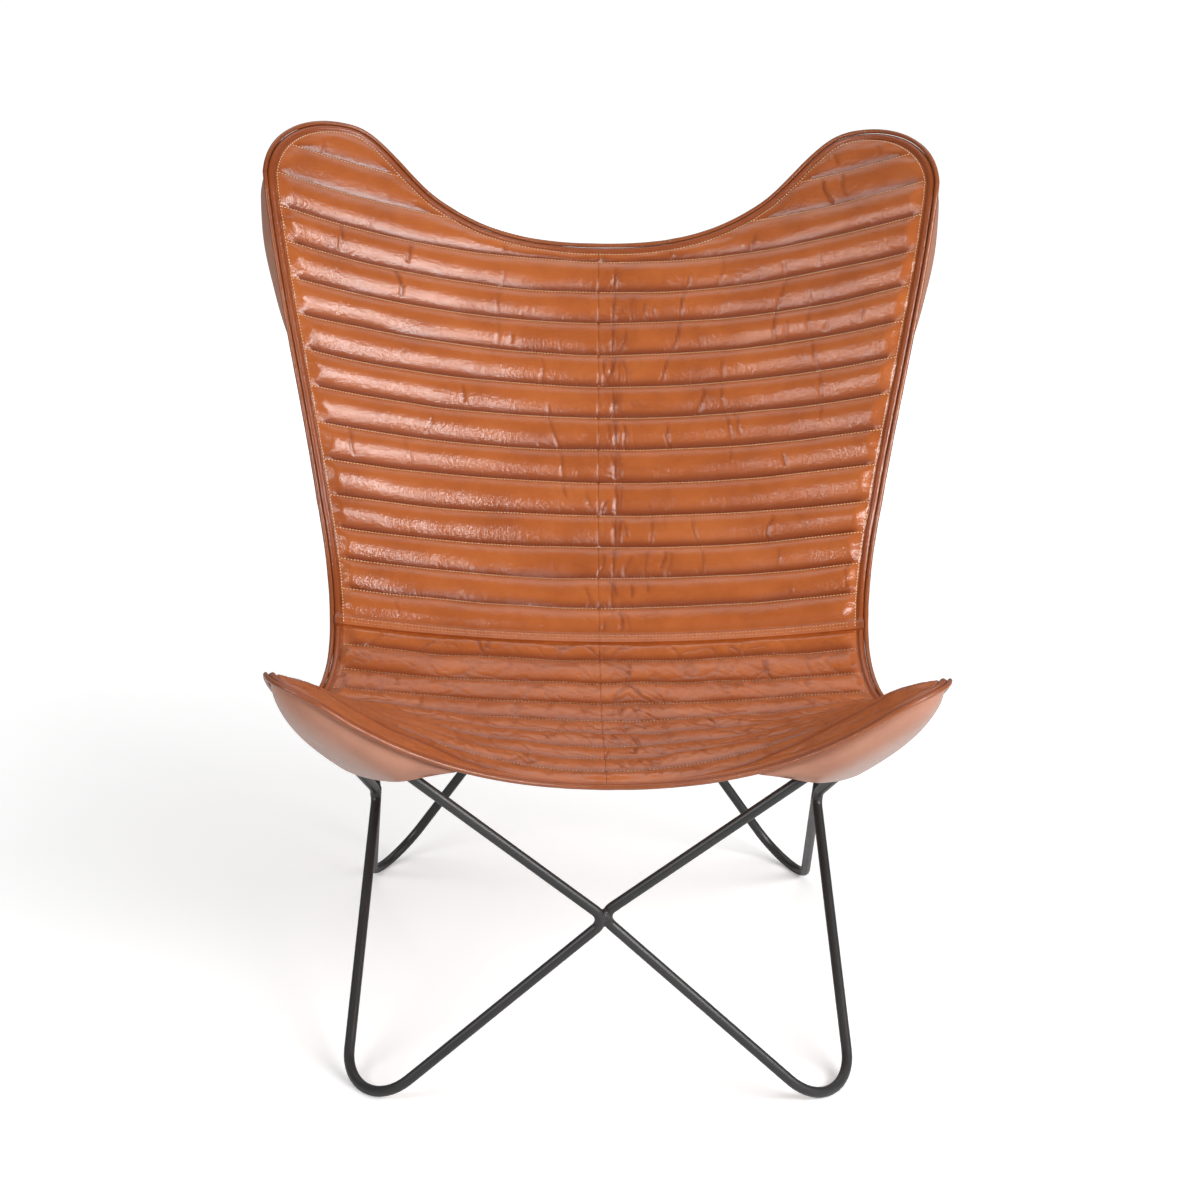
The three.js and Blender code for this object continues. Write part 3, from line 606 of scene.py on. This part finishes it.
def leather_finish(name, dark, middle, light, roughness, coat, grain):
    """Tanned hide: mottled colour, pores and fine grain, and a waxed coat."""
    material, nodes, links, shader = new_material(name)
    mottle = textured(nodes, links, 14.0, Detail=6.0, Roughness=0.62)
    colour = ramp(nodes, links, mottle, [(0.25, dark), (0.5, middle), (0.78, light)])
    links.new(colour, shader.inputs["Base Color"])
    rubbed = textured(nodes, links, 60.0, Detail=4.0)
    dull = spread(nodes, links, rubbed, roughness - 0.08, roughness + 0.1)
    links.new(dull, shader.inputs["Roughness"])
    wax = textured(nodes, links, 170.0, Detail=5.0, Roughness=0.7)
    links.new(spread(nodes, links, wax, coat * 0.7, coat, 0.36, 0.6), shader.inputs["Coat Weight"])
    shader.inputs["Coat Roughness"].default_value = 0.12
    shader.inputs["Specular IOR Level"].default_value = 0.2
    pebbles = textured(nodes, links, 620.0, "ShaderNodeTexVoronoi", "Distance")
    fine = bump_over(nodes, links, pebbles, grain, 0.0006)
    creases = textured(nodes, links, 150.0, Detail=5.0, Roughness=0.6)
    links.new(bump_over(nodes, links, creases, grain, 0.0022, fine), shader.inputs["Normal"])
    wrinkles = textured(nodes, links, 280.0, Detail=3.0, Roughness=0.6)
    waves = bump_over(nodes, links, creases, grain, 0.0016)
    links.new(bump_over(nodes, links, wrinkles, grain, 0.004, waves), shader.inputs["Coat Normal"])
    return material


lining_leather = leather_finish(
    "lining_leather", (0.29, 0.1, 0.045), (0.36, 0.135, 0.062), (0.43, 0.175, 0.09),
    roughness=0.5, coat=0.0, grain=0.25)
lining_thickness, lining_joint = 1.4, 0.4
lining_puff, lining_plain_edge = 1.6, 15.0
lining_column, lining_row_share = 12.0, 1 / 6
lining_spans = {"back": (seat_length, past_top), "seat": (past_front, seat_length - lining_joint)}
channel_pitch, front_band = 39.0, 38.0


def phase_of(s):
    """Share of the way through a sewn channel, 0 at a seam."""
    return ((s - front_band) / channel_pitch) % 1


for name, (low, high) in lining_spans.items():
    right = half_outline(low, high, 1, 0.0)
    run, seam = right[right[:, 0] > 0.5], right[right[:, 0] < 0.5]
    ring = np.vstack([seam[seam[:, 1].argmin()], run, seam[seam[:, 1].argmax()], (run * (-1, 1))[::-1]])
    rows = np.arange(max(low, -front_reach), past_top, channel_pitch * lining_row_share)
    flat, faces = fill_ring(ring, crossings(np.arange(-past_side, past_side + 1, lining_column), rows), 4.0)
    x, s = flat.T
    room = room_to(flat, spaced(np.vstack([ring, ring[:1]]), 1.0))
    puff = lining_puff * np.sin(math.pi * phase_of(s)) ** 2 * (s > front_band)
    puff = puff * smooth_share((room - lining_plain_edge) / lining_plain_edge)
    lower = sling_layer(x, s, -lining_thickness - puff)
    upper = sling_layer(x, s, -puff)
    points, faces = closed_panel(upper, faces, lower, faces, list(range(len(ring))))
    lining = make_piece(name + "_lining_hide", points, faces, lining_leather, "lining_leather")
    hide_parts(name + "_lining")


# Quilted faces: the sling's upper side, four panels of glossy waxed tan hide stitched over wadding
# in channels. The hide swells from each seam, puckers along it and has creased where it was folded.
face_seam, face_depth, seat_fullness = 3.4, 6.6, 0.85
edge_band, centre_gap = 9.0, 0.15
centre_dip, centre_dip_width = 0.35, 1.0
end_lead, end_stray, end_run = 3.0, 3.0, 15.0
lobe_calm, lobe_calm_start, lobe_calm_run = 0.45, 800.0, 70.0
roll_foot, roll_crown, roll_width = 1.6, 2.9, 7.6
roll_edge, roll_blend = 7.4, 1.8
lap_edge, lap_height, lap_run = 338.0, 6.4, 4.0
tuck_height, tuck_reach, tuck_run = 2.5, 16.0, 8.0
seam_shade, roll_shade = 6.0, 0.65
channel_rows = np.array((
    0, 0.02, 0.05, 0.085, 0.12, 0.16, 0.2, 0.24, 0.28, 0.33,
    0.4, 0.48, 0.56, 0.65, 0.74, 0.83, 0.9, 0.955, 0.985,
))
rim_fine = spaced(sling_rim, 1.0)


def lattice(u, v, seed):
    """Smooth noise from -1 to 1 that changes over about one unit."""
    table = np.random.RandomState(seed).uniform(-1, 1, (64, 64))
    i, j = np.floor(u).astype(int), np.floor(v).astype(int)
    a, b = u - i, v - j
    a, b = a * a * a * (a * (a * 6 - 15) + 10), b * b * b * (b * (b * 6 - 15) + 10)

    def corner(k, n):
        return table[(i + k) % 64, (j + n) % 64]

    low = corner(0, 0) * (1 - a) + corner(1, 0) * a
    high = corner(0, 1) * (1 - a) + corner(1, 1) * a
    return low * (1 - b) + high * b


def folds(u, v, seed, sharpness):
    """Thin branching lines, 1 on a line and 0 away from it."""
    bent_u = u + 0.35 * lattice(u * 1.7, v * 1.7, seed + 50)
    bent_v = v + 0.35 * lattice(u * 1.7, v * 1.7, seed + 51)
    return np.clip(1 - np.abs(lattice(bent_u, bent_v, seed)) * sharpness, 0, 1) ** 1.5


# A channel's slope in degrees at shares of its width: steep above its lower seam, then a long round
# crown that falls away to the next seam.
slope_shares = (0, 0.04, 0.09, 0.15, 0.22, 0.32, 0.42, 0.5, 0.58, 0.66, 0.76, 0.86, 0.94, 1)
slope_degrees = (40, 33, 26, 21, 17.5, 14, 9, 4, 0, -6, -15, -24, -31, -38)
crown_share = 0.58
profile_shares = np.linspace(0, 1, 401)
profile = np.cumsum(np.tan(np.radians(np.interp(profile_shares, slope_shares, slope_degrees))))
profile = np.where(profile_shares < crown_share, profile - profile[0],
                   (profile - profile[-1]) * (profile.max() - profile[0]) / (profile.max() - profile[-1]))
profile /= profile.max()


def channel_shape(phase):
    return np.interp(phase, profile_shares, profile)


def crease_list(stations, count, slant, seed):
    """Short creases across the channels, most of them near the middle and on the right half."""
    draw = np.random.RandomState(seed)
    made = []
    for station in stations:
        for _ in range(count):
            pick = draw.uniform()
            if pick < 0.35:
                x = draw.uniform(4, 45)
            elif pick < 0.72:
                x = draw.uniform(20, 330)
            else:
                x = draw.uniform(-330, -8)
            lean = draw.uniform(-slant, slant)
            depth, width = draw.uniform(0.5, 1.5), draw.uniform(1.3, 2.1)
            start, stop = draw.uniform(-0.2, 0.25), draw.uniform(0.45, 1.15)
            made.append((station, x, lean, depth, width, start, stop))
    return made


back_seams = np.arange(seat_length, 940, channel_pitch)
seat_seams = front_band + channel_pitch * np.arange(8)
back_creases = crease_list(back_seams, 5, 0.3, 11)
# Each long crease runs from one (x, s) to another and has a depth.
long_creases = [
    (17, 360, 19, 820, 1.3), (24, 470, 22, 700, 0.8), (73, 660, 108, 800, 1.3), (-34, 520, -58, 640, 1.0),
    (150, 560, 138, 690, 1.0), (196, 690, 214, 800, 1.1), (52, 400, 60, 520, 0.9), (250, 600, 236, 760, 0.9),
    (-120, 690, -112, 800, 0.6), (118, 420, 104, 520, 0.8),
]
seat_creases = crease_list(seat_seams, 7, 1.3, 12)


def creasing(x, s, phase, seat):
    """Depth of the single creases: long ones down the back and short ones across the channels."""
    sway, long_width, long_fade = 2.5, 1.7, 0.08
    creased = np.zeros_like(x)
    for from_x, from_s, to_x, to_s, depth in [] if seat else long_creases:
        share = (s - from_s) / (to_s - from_s)
        off = (x - from_x - (to_x - from_x) * share - sway * np.sin(share * 9 + from_x)) / long_width
        span = smooth_share(share / long_fade) * smooth_share((1 - share) / long_fade)
        creased = creased + depth * np.exp(-off ** 2) * span * np.sin(math.pi * phase) ** 0.4
    for station, at, slant, depth, width, start, stop in seat_creases if seat else back_creases:
        share = (s - station) / channel_pitch
        span = smooth_share((share - start) / 0.12) * smooth_share((stop - share) / 0.2)
        off = (x - at - slant * (share - 0.5) * channel_pitch - 1.5 * np.sin(share * 7 + at)) / width
        creased = creased + depth * np.exp(-off ** 2) * span * ((share >= 0) & (share < 1))
    return creased


def crumpling(x, s, seat, middle):
    """Depth of the fine folds, most on the seat and along the middle of the back."""
    crumple = folds(x / 34, s / 26, 41, 5) * 1.1 + folds(x / 17, s / 14, 43, 4.5) * 0.55
    if not seat:
        return crumple * (0.05 + 0.4 * middle + 0.12 * (x > 0))
    slanted = folds((x + s) / 30, (x - s) / 42, 47, 6) + 0.6 * folds((x - s) / 19, (x + s) / 30, 49, 5)
    return (crumple + slanted) * 0.85


def quilt(x, s, panel):
    """Height of the hide over the lining, how much painted shade each point gets in a seam and on the edge
    roll, and how creased it is, which sets its painted crease shade.
    """
    seat = panel == "seat"
    phase = phase_of(s)
    across = np.sin(math.pi * phase)
    number = np.floor((s - front_band) / channel_pitch)
    room = room_to(np.stack([np.abs(x), s], 1), rim_fine)
    ends = smooth_share((room - edge_band + end_lead + end_stray * lattice(x / 30, s / 9, 81)) / end_run)
    uneven = 1 + 0.14 * lattice(x / 70, number * 3.3, 21) + 0.06 * lattice(x / 23, number * 5.1, 22)
    bulge = channel_shape(phase) * uneven
    if seat:
        full = face_depth * seat_fullness
        ahead = np.clip(s / front_band, 0, 1)
        bulge = np.where(s < front_band, 0.75 * np.sin(math.pi * ahead) ** 0.7, bulge)
        ends = ends * smooth_share((seat_length - 12 - s) / 9)
    else:
        full = face_depth * (1 - lobe_calm * smooth_share((s - lobe_calm_start) / lobe_calm_run))
        ends = ends * smooth_share((s - seat_length + 4) / 20)
    near_seam = np.exp(-phase * channel_pitch / 6.5) + 0.4 * np.exp(-(1 - phase) * channel_pitch / 5)
    middle = np.exp(-np.abs(x - 15) / 70)
    pulled = 1.5 if seat else 0.1 + 0.75 * middle + 0.2 * (x > 0)
    pucker = lattice(x / 4.6, number * 7.7, 31) * 0.3 + lattice(x / 10.5, number * 7.7, 32) * 0.5
    creased = creasing(x, s, phase, seat)
    crumple = crumpling(x, s, seat, middle)
    height = face_seam + full * bulge * ends + pucker * near_seam * pulled * ends * across ** 0.3
    height = height - (creased + crumple * across ** 0.5) * ends
    height = height + (1.6 if seat else 0.8) * lattice(x / 44, s / 36, 45) * ends
    height = height - centre_dip * np.exp(-(np.abs(x) - centre_gap) / centre_dip_width) * ends
    roll = roll_foot + roll_crown * np.sin(math.pi * np.clip(room / roll_width, 0, 1)) ** 0.8
    inside = smooth_share((room - roll_edge) / roll_blend)
    height = roll * (1 - inside) + height * inside
    if seat:
        tuck = smooth_share((s - seat_length + tuck_reach) / tuck_run)
        height = height * (1 - tuck) + tuck_height * tuck
    else:
        lap = smooth_share((seat_length + 3 - s) / lap_run)
        height = height * (1 - lap) + lap_height * lap
    # Painted shade: the hide is darkened just above each seam, where the channel above shades it, and over
    # the edge roll. The last value, from the crease depths, sets painted shade in the creases.
    painted_shade = np.exp(-(phase * channel_pitch / seam_shade) ** 2) * ends
    painted_shade = np.maximum(painted_shade, roll_shade * (1 - inside))
    return height, painted_shade, np.clip(0.6 * creased + 0.4 * crumple, 0, 0.9) * ends


def seam_wander(x, s):
    """Seams are sewn by hand along a chalk line, so they stray a little along the sling."""
    return 0.9 * lattice(x / 85, s / 39, 61) * smooth_share((np.abs(s - seat_length) - 14) / 20)


def shiny_hide():
    """The faces' hide: orange tan, with painted shade in darker red browns in the seams, on the edge roll and
    in the creases.
    """
    material = leather_finish(
        "shiny_tan_hide", (0.31, 0.068, 0.011), (0.4, 0.097, 0.018), (0.47, 0.128, 0.028),
        roughness=0.34, coat=1.0, grain=0.2)
    nodes, links = material.node_tree.nodes, material.node_tree.links
    shader = nodes["Principled BSDF"]
    colour = shader.inputs["Base Color"].links[0].from_socket
    # Painted shade: the seams, the edge roll and the creases are mixed toward darker red browns that stand in
    # for the shade there.
    for label, shade_tone in (("painted_shade", (0.19, 0.033, 0.004, 1)), ("creased", (0.2, 0.038, 0.006, 1))):
        amount = nodes.new("ShaderNodeAttribute")
        amount.attribute_name = label
        shaded = nodes.new("ShaderNodeMix")
        shaded.data_type = "RGBA"
        shaded.inputs["B"].default_value = shade_tone
        links.new(amount.outputs["Fac"], shaded.inputs["Factor"])
        links.new(colour, shaded.inputs["A"])
        colour = shaded.outputs["Result"]
    links.new(colour, shader.inputs["Base Color"])
    return material


tan_hide = shiny_hide()
face_joint, face_floor = 0.3, 1.0
lap_lift, lap_lift_run = 2.0, 8.0
lap_rows = (341.5, 344.5, 347.5)
panels = {
    "back": (lap_edge, past_top, np.concatenate([
        lap_rows,
        (back_seams[:, None] + channel_pitch * channel_rows[None]).ravel(),
    ])),
    "seat": (past_front, seat_length - face_joint, np.concatenate([
        np.arange(-46, front_band - 1, 3.0),
        (seat_seams[:, None] + channel_pitch * channel_rows[None]).ravel(),
    ])),
}
columns = np.concatenate([[0.9, 1.8, 3.0, 4.4], np.arange(6.0, past_side, 2.2)])
edge_depths = (1.5, 3, 4.5, 6, 7.2, 8.2, 9.2, 10.2, 11.6, 13.4, 15.6)
edge_rows = np.vstack([beside(spaced(sling_rim, 2.5), -depth) for depth in edge_depths])
edge_clear = 17
under_grid = crossings(np.arange(15, past_side, 24.0), np.arange(-40, past_top, 24.0))
for panel, (low, high, rows) in panels.items():
    for side_name, side in (("left", -1), ("right", 1)):
        ring = half_outline(low, high, side, centre_gap)
        grid = crossings(columns, rows)
        grid = grid[room_to(grid, rim_fine) > edge_clear]
        flat, faces = fill_ring(ring, np.vstack([grid, edge_rows]) * (side, 1), 1.2)
        x, s = flat.T
        height, painted_shade, creased = quilt(x, s, panel)
        stray = s + seam_wander(x, s)
        upper = sling_layer(x, stray, height)
        under, under_faces = fill_ring(ring, under_grid * (side, 1), 8.0)
        floor_height = np.full(len(under), face_floor)
        if panel == "back":
            floor_height += lap_lift * smooth_share((seat_length + lap_lift_run - under[:, 1]) / lap_lift_run)
        lower = sling_layer(under[:, 0], under[:, 1] + seam_wander(*under.T), floor_height)
        points, faces = closed_panel(upper, faces, lower, under_faces, list(range(len(ring))))
        name = f"{panel}_{side_name}"
        piece = make_piece(name + "_quilt", points, faces, tan_hide, "face_leather", 60)
        for label, values in (("painted_shade", painted_shade), ("creased", creased)):
            layer = piece.data.attributes.new(label, "FLOAT", "POINT")
            layer.data.foreach_set("value", np.concatenate([values, np.zeros(len(lower))]).astype(np.float32))
        if side < 0:
            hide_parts(name + "_face", panel + "_wadding")
        else:
            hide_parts(name + "_face")


# Piping: a strip of the same hide rolled round a cord and sewn in along all four edges, so that it
# stands just outside the panels. It is darker than the faces.
piping_radius, piping_sides = 2.5, 10
piping_height, piping_gap = 1.75, 0.05
piping_unevenness = 0.05
rolled_hide = leather_finish(
    "rolled_edge_hide", (0.19, 0.044, 0.011), (0.26, 0.066, 0.017), (0.33, 0.092, 0.026),
    roughness=0.3, coat=1.0, grain=0.2)
mirror = np.array((-1.0, 1.0))
edge_lines = {
    "front": np.vstack([(front_run * mirror)[::-1], front_run[1:]]),
    "right": side_run,
    "top": np.vstack([top_run, (top_run * mirror)[::-1][1:]]),
    "left": (side_run * mirror)[::-1],
}
for name, line in edge_lines.items():
    x, s = beside(line, piping_radius + piping_gap).T
    cord_line = sling_layer(x, s, piping_height + 0 * x)
    thick = piping_radius * (1 + piping_unevenness * lattice(np.arange(len(x)) / 3.0, np.zeros(len(x)), 71))
    points, faces = sweep_tube(cord_line, thick, piping_sides, False)
    piping = make_piece(name + "_rolled_edge", points, faces, rolled_hide, "piping_leather")
    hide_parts(name + "_piping")


# Pockets: at each corner a smooth piece of paler hide is sewn to the underside along the edge. It
# swells round the loop's tip and ends in a hemmed mouth behind the tip's two rods.
pocket_thickness, pocket_inset, pocket_rod_gap, pocket_rim_gap = 1.5, 3.0, 6.0, 0.95
pocket_rim_height = -lining_thickness - pocket_rim_gap
pocket_wave, pocket_hem, pocket_fullness, least_pocket_depth = 0.7, 0.5, 0.7, 0.05
back_pocket_drop, back_pocket_start = 190, 240
front_pocket_start, front_pocket_end = 140, 225
back_pocket_inner, back_pocket_outer, back_pocket_swell = 230, 250, 76
front_pocket_inner, front_pocket_outer, front_pocket_swell = 170, 250, 28
pocket_hide = leather_finish(
    "pocket_hide", (0.33, 0.14, 0.085), (0.39, 0.175, 0.11), (0.45, 0.21, 0.14),
    roughness=0.36, coat=0.6, grain=0.06)


def mouth_line(points):
    """A smooth line through a few points."""
    points = [np.asarray(p, float) for p in points]
    guides = [2 * points[0] - points[1], *points, 2 * points[-1] - points[-2]]
    line = []
    for k in range(1, len(guides) - 2):
        p0, p1, p2, p3 = guides[k - 1: k + 3]
        d0, d1, d2 = (math.sqrt(np.linalg.norm(b - a)) for a, b in ((p0, p1), (p1, p2), (p2, p3)))
        t1 = ((p1 - p0) / d0 - (p2 - p0) / (d0 + d1) + (p2 - p1) / d1) * d1
        t2 = ((p2 - p1) / d1 - (p3 - p1) / (d1 + d2) + (p3 - p2) / d2) * d1
        for t in np.linspace(0, 1, 60, endpoint=False):
            line.append((2 * t ** 3 - 3 * t ** 2 + 1) * p1 + (t ** 3 - 2 * t ** 2 + t) * t1
                        + (3 * t ** 2 - 2 * t ** 3) * p2 + (t ** 3 - t ** 2) * t2)
    return np.array(line + [points[-1]])


def along_line(line, shares):
    lengths = run_lengths(line)
    return at_lengths(np.asarray(shares) * lengths[-1], lengths, line)


def pocket_surface(side, bends, rim, inner_reach, outer_reach, inner_first, swell, station):
    """The pocket as a function of the share along its rim and the share from rim to mouth."""
    tip = bends[3]
    outward = unit(np.cross(tip.to_before, tip.to_after))
    up = sling_normal(np.array(side * waist_half), np.array(rim[0][1]))
    if outward @ up > 0:
        outward = -outward
    corner = tip.corner + outward * (rod_radius + pocket_rod_gap)
    inner, outer = corner + tip.to_after * inner_reach, corner + tip.to_before * outer_reach
    inset = beside(rim, -pocket_inset) * (side, 1)
    edge = sling_layer(inset[:, 0], inset[:, 1], pocket_rim_height + 0 * inset[:, 0])
    first, second = (inner, outer) if inner_first else (outer, inner)
    mouth = mouth_line([edge[0], (edge[0] + first) / 2, first, second, (second + edge[-1]) / 2, edge[-1]])
    behind = -sling_normal(np.array(side * waist_half), np.array(station))

    def place(a, b):
        start, end = along_line(edge, a), along_line(mouth, a)
        swollen = start + (end - start) * 0.08 + behind * (swell * np.sin(math.pi * a) ** 0.6)[..., None]
        b = b[..., None]
        return start * (1 - b) ** 2 + 2 * swollen * b * (1 - b) + end * b ** 2

    return place


def sheet_normals(grid, flip):
    normal = np.cross(np.gradient(grid, axis=1), np.gradient(grid, axis=0))
    normal[:, 0], normal[:, -1] = normal[:, 1], normal[:, -2]
    length = np.linalg.norm(normal, axis=-1, keepdims=True)
    return normal / np.maximum(length, 1e-9) * (-1 if flip else 1)


def sheet_faces(rows, cols, flip):
    faces = []
    for i in range(rows - 1):
        for j in range(cols - 1):
            a = i * cols + j
            faces.append((a, a + 1, a + cols + 1, a + cols))
    return [f[::-1] for f in faces] if flip else faces


pocket_places = {}
back_rim = np.vstack([
    side_run[side_run[:, 1] > lobe_centre - back_pocket_drop],
    top_run[1:][top_run[1:, 0] > back_pocket_start],
])
front_rim = np.vstack([
    front_run[front_run[:, 0] > front_pocket_start],
    side_run[1:][side_run[1:, 1] < front_pocket_end],
])
for side_name, side in (("left", -1), ("right", 1)):
    pocket_places["back_" + side_name] = pocket_surface(
        side, loops["rear_" + side_name], back_rim,
        back_pocket_inner, back_pocket_outer, False, back_pocket_swell, lobe_centre)
    pocket_places["front_" + side_name] = pocket_surface(
        side, loops["front_" + side_name], front_rim,
        front_pocket_inner, front_pocket_outer, True, front_pocket_swell, corner_centre)
rows, cols = 36, 90
a, b = np.meshgrid(np.linspace(0, 1, cols), np.linspace(0, 1, rows))
for name, place in pocket_places.items():
    flip = name.endswith("left")
    inner = place(a, b)
    normals = sheet_normals(inner, flip)
    wave = pocket_wave * lattice(a * 9, b * 3, 81) * np.sin(math.pi * b) * np.sin(math.pi * a)
    hem = pocket_hem * smooth_share((b - 0.9) / 0.05)
    outer = inner + normals * (pocket_thickness + wave + hem)[..., None]
    numbers = np.arange(rows * cols).reshape(rows, cols)
    rim = np.concatenate([numbers[0], numbers[1:, -1], numbers[-1, -2::-1], numbers[-2:0:-1, 0]]).tolist()
    faces = sheet_faces(rows, cols, flip)
    points, faces = closed_panel(
        outer.reshape(-1, 3), faces, inner.reshape(-1, 3), faces, rim[::-1] if flip else rim)
    pocket = make_piece(name + "_tip_pocket", points, faces, pocket_hide, "pocket_leather", 50)
    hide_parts(name + "_pocket")


# Stitching: waxed thread in small straight stitches, pale along the back's seams and the inner line
# of its edge band, tan on the seat and along the lap, and dark round the pockets.
def waxed_thread(name, dark, light):
    material, nodes, links, shader = new_material(name)
    strands = textured(nodes, links, 500.0, Detail=3.0)
    colour = ramp(nodes, links, strands, [(0.3, dark), (0.7, light)])
    links.new(colour, shader.inputs["Base Color"])
    shader.inputs["Roughness"].default_value = 0.5
    links.new(bump_over(nodes, links, strands, 0.3, 0.0003), shader.inputs["Normal"])
    return material


pale_thread = waxed_thread("pale_thread", (0.7, 0.44, 0.22), (0.92, 0.7, 0.44))
tan_thread = waxed_thread("tan_thread", (0.46, 0.2, 0.075), (0.66, 0.34, 0.15))
dark_thread = waxed_thread("dark_thread", (0.09, 0.04, 0.02), (0.16, 0.08, 0.045))
stitch_pitch, stitch_length, stitch_radius = 3.6, 2.0, 0.58
stitch_end, stitch_dip = 0.45, 0.25
stitch_faces = ring_faces(3, 4, False)
seam_below, seam_lift = 1.4, 0.6
lap_stations, lap_inset, lap_lift_off = (342.5, 347.0), 16, 0.2
band_lift, pocket_lift = 0.25, 0.5


def stitches(lines):
    """Small tapered stitches along lines of points with their normals."""
    points, faces = [], []
    for line, normals in lines:
        lengths = run_lengths(line)
        count = int(lengths[-1] / stitch_pitch)
        if count < 2:
            continue
        marks = (np.arange(count) + 0.5) * lengths[-1] / count

        def at(values, shift):
            return at_lengths(marks + shift, lengths, values)

        up = at(normals, 0)
        up /= np.linalg.norm(up, axis=1)[:, None]
        along = at(line, 0.6) - at(line, -0.6)
        along /= np.linalg.norm(along, axis=1)[:, None]
        across = np.cross(up, along)
        rings = []
        sections = ((-0.5, stitch_end, -stitch_dip), (0.0, 1.0, stitch_dip), (0.5, stitch_end, -stitch_dip))
        for shift, thick, lift in sections:
            middle = at(line, shift * stitch_length) + up * lift
            for c, u in ((1, 0), (0, 1), (-1, 0), (0, -1)):
                rings.append(middle + (across * c + up * u) * stitch_radius * thick)
        start = sum(len(p) for p in points)
        points.append(np.stack(rings, 1).reshape(-1, 3))
        for k in range(count):
            first = start + 12 * k
            faces += [tuple(first + n for n in face) for face in stitch_faces]
    return np.vstack(points), faces


def on_quilt(x, s, panel, above):
    """Points and normals on the hide of a panel along a line of (x, s)."""
    height = quilt(x, s, panel)[0]
    stray = s + seam_wander(x, s)
    return sling_layer(x, stray, height + above), sling_normal(x, stray)


def seam_span(s):
    """Where a seam starts and ends on the right half, inside the edge band."""
    reach = np.arange(past_side + 1)
    line = np.stack([reach, np.full(len(reach), s)], 1)
    line = line[inside_ring(line, sling_rim)]
    sewn = line[room_to(line, rim_fine) > edge_band, 0]
    return sewn.min(), sewn.max()


seam_lines = {"back": [], "seat": []}
for panel, stations in (("back", back_seams[1:]), ("seat", seat_seams)):
    for s in stations:
        if s > dip_station + lobe_height - edge_band:
            continue
        near, far = seam_span(s)
        for side in (-1, 1):
            x = side * np.linspace(max(near, 1.5), far, 200)
            seam_lines[panel].append(on_quilt(x, np.full(200, s - seam_below), panel, seam_lift))
for s in lap_stations:
    reach = half_width(np.array(s)) - lap_inset
    x = np.linspace(-reach, reach, 300)
    seam_lines["seat"].append(on_quilt(x, np.full(300, s), "back", lap_lift_off))
band_line = beside(sling_rim, -edge_band)
for side in (-1, 1):
    x, s = (band_line[band_line[:, 1] > lap_edge + 2] * (side, 1)).T
    seam_lines["back"].append(on_quilt(x, s, "back", band_lift))
for panel, lines in seam_lines.items():
    thread = tan_thread if panel == "seat" else pale_thread
    make_piece(panel + "_stitching", *stitches(lines), thread, "piping_leather", 80)

pocket_lines = []
rim_line_depth, mouth_line_depth = 8.0, 9.0
line_cols, line_rows, line_end, least_sewn = 160, 60, 4, 22
a, b = np.meshgrid(np.linspace(0, 1, line_cols), np.linspace(0, 1, line_rows))
for name, place in pocket_places.items():
    grid = place(a, b)
    normals = sheet_normals(grid, name.endswith("left"))
    steps = np.linalg.norm(np.diff(grid, axis=0), axis=-1)
    down = np.concatenate([np.zeros((1, line_cols)), np.cumsum(steps, axis=0)])
    keep = np.arange(line_end, line_cols - line_end)
    keep = keep[down[-1, keep] > least_sewn]
    for off in (down - rim_line_depth, down[-1:] - down - mouth_line_depth):
        row = np.argmin(np.abs(off), axis=0)[keep]
        up = normals[row, keep]
        pocket_lines.append((grid[row, keep] + up * (pocket_thickness + pocket_lift), up))
make_piece("pocket_stitching", *stitches(pocket_lines), dark_thread, "piping_leather", 80)
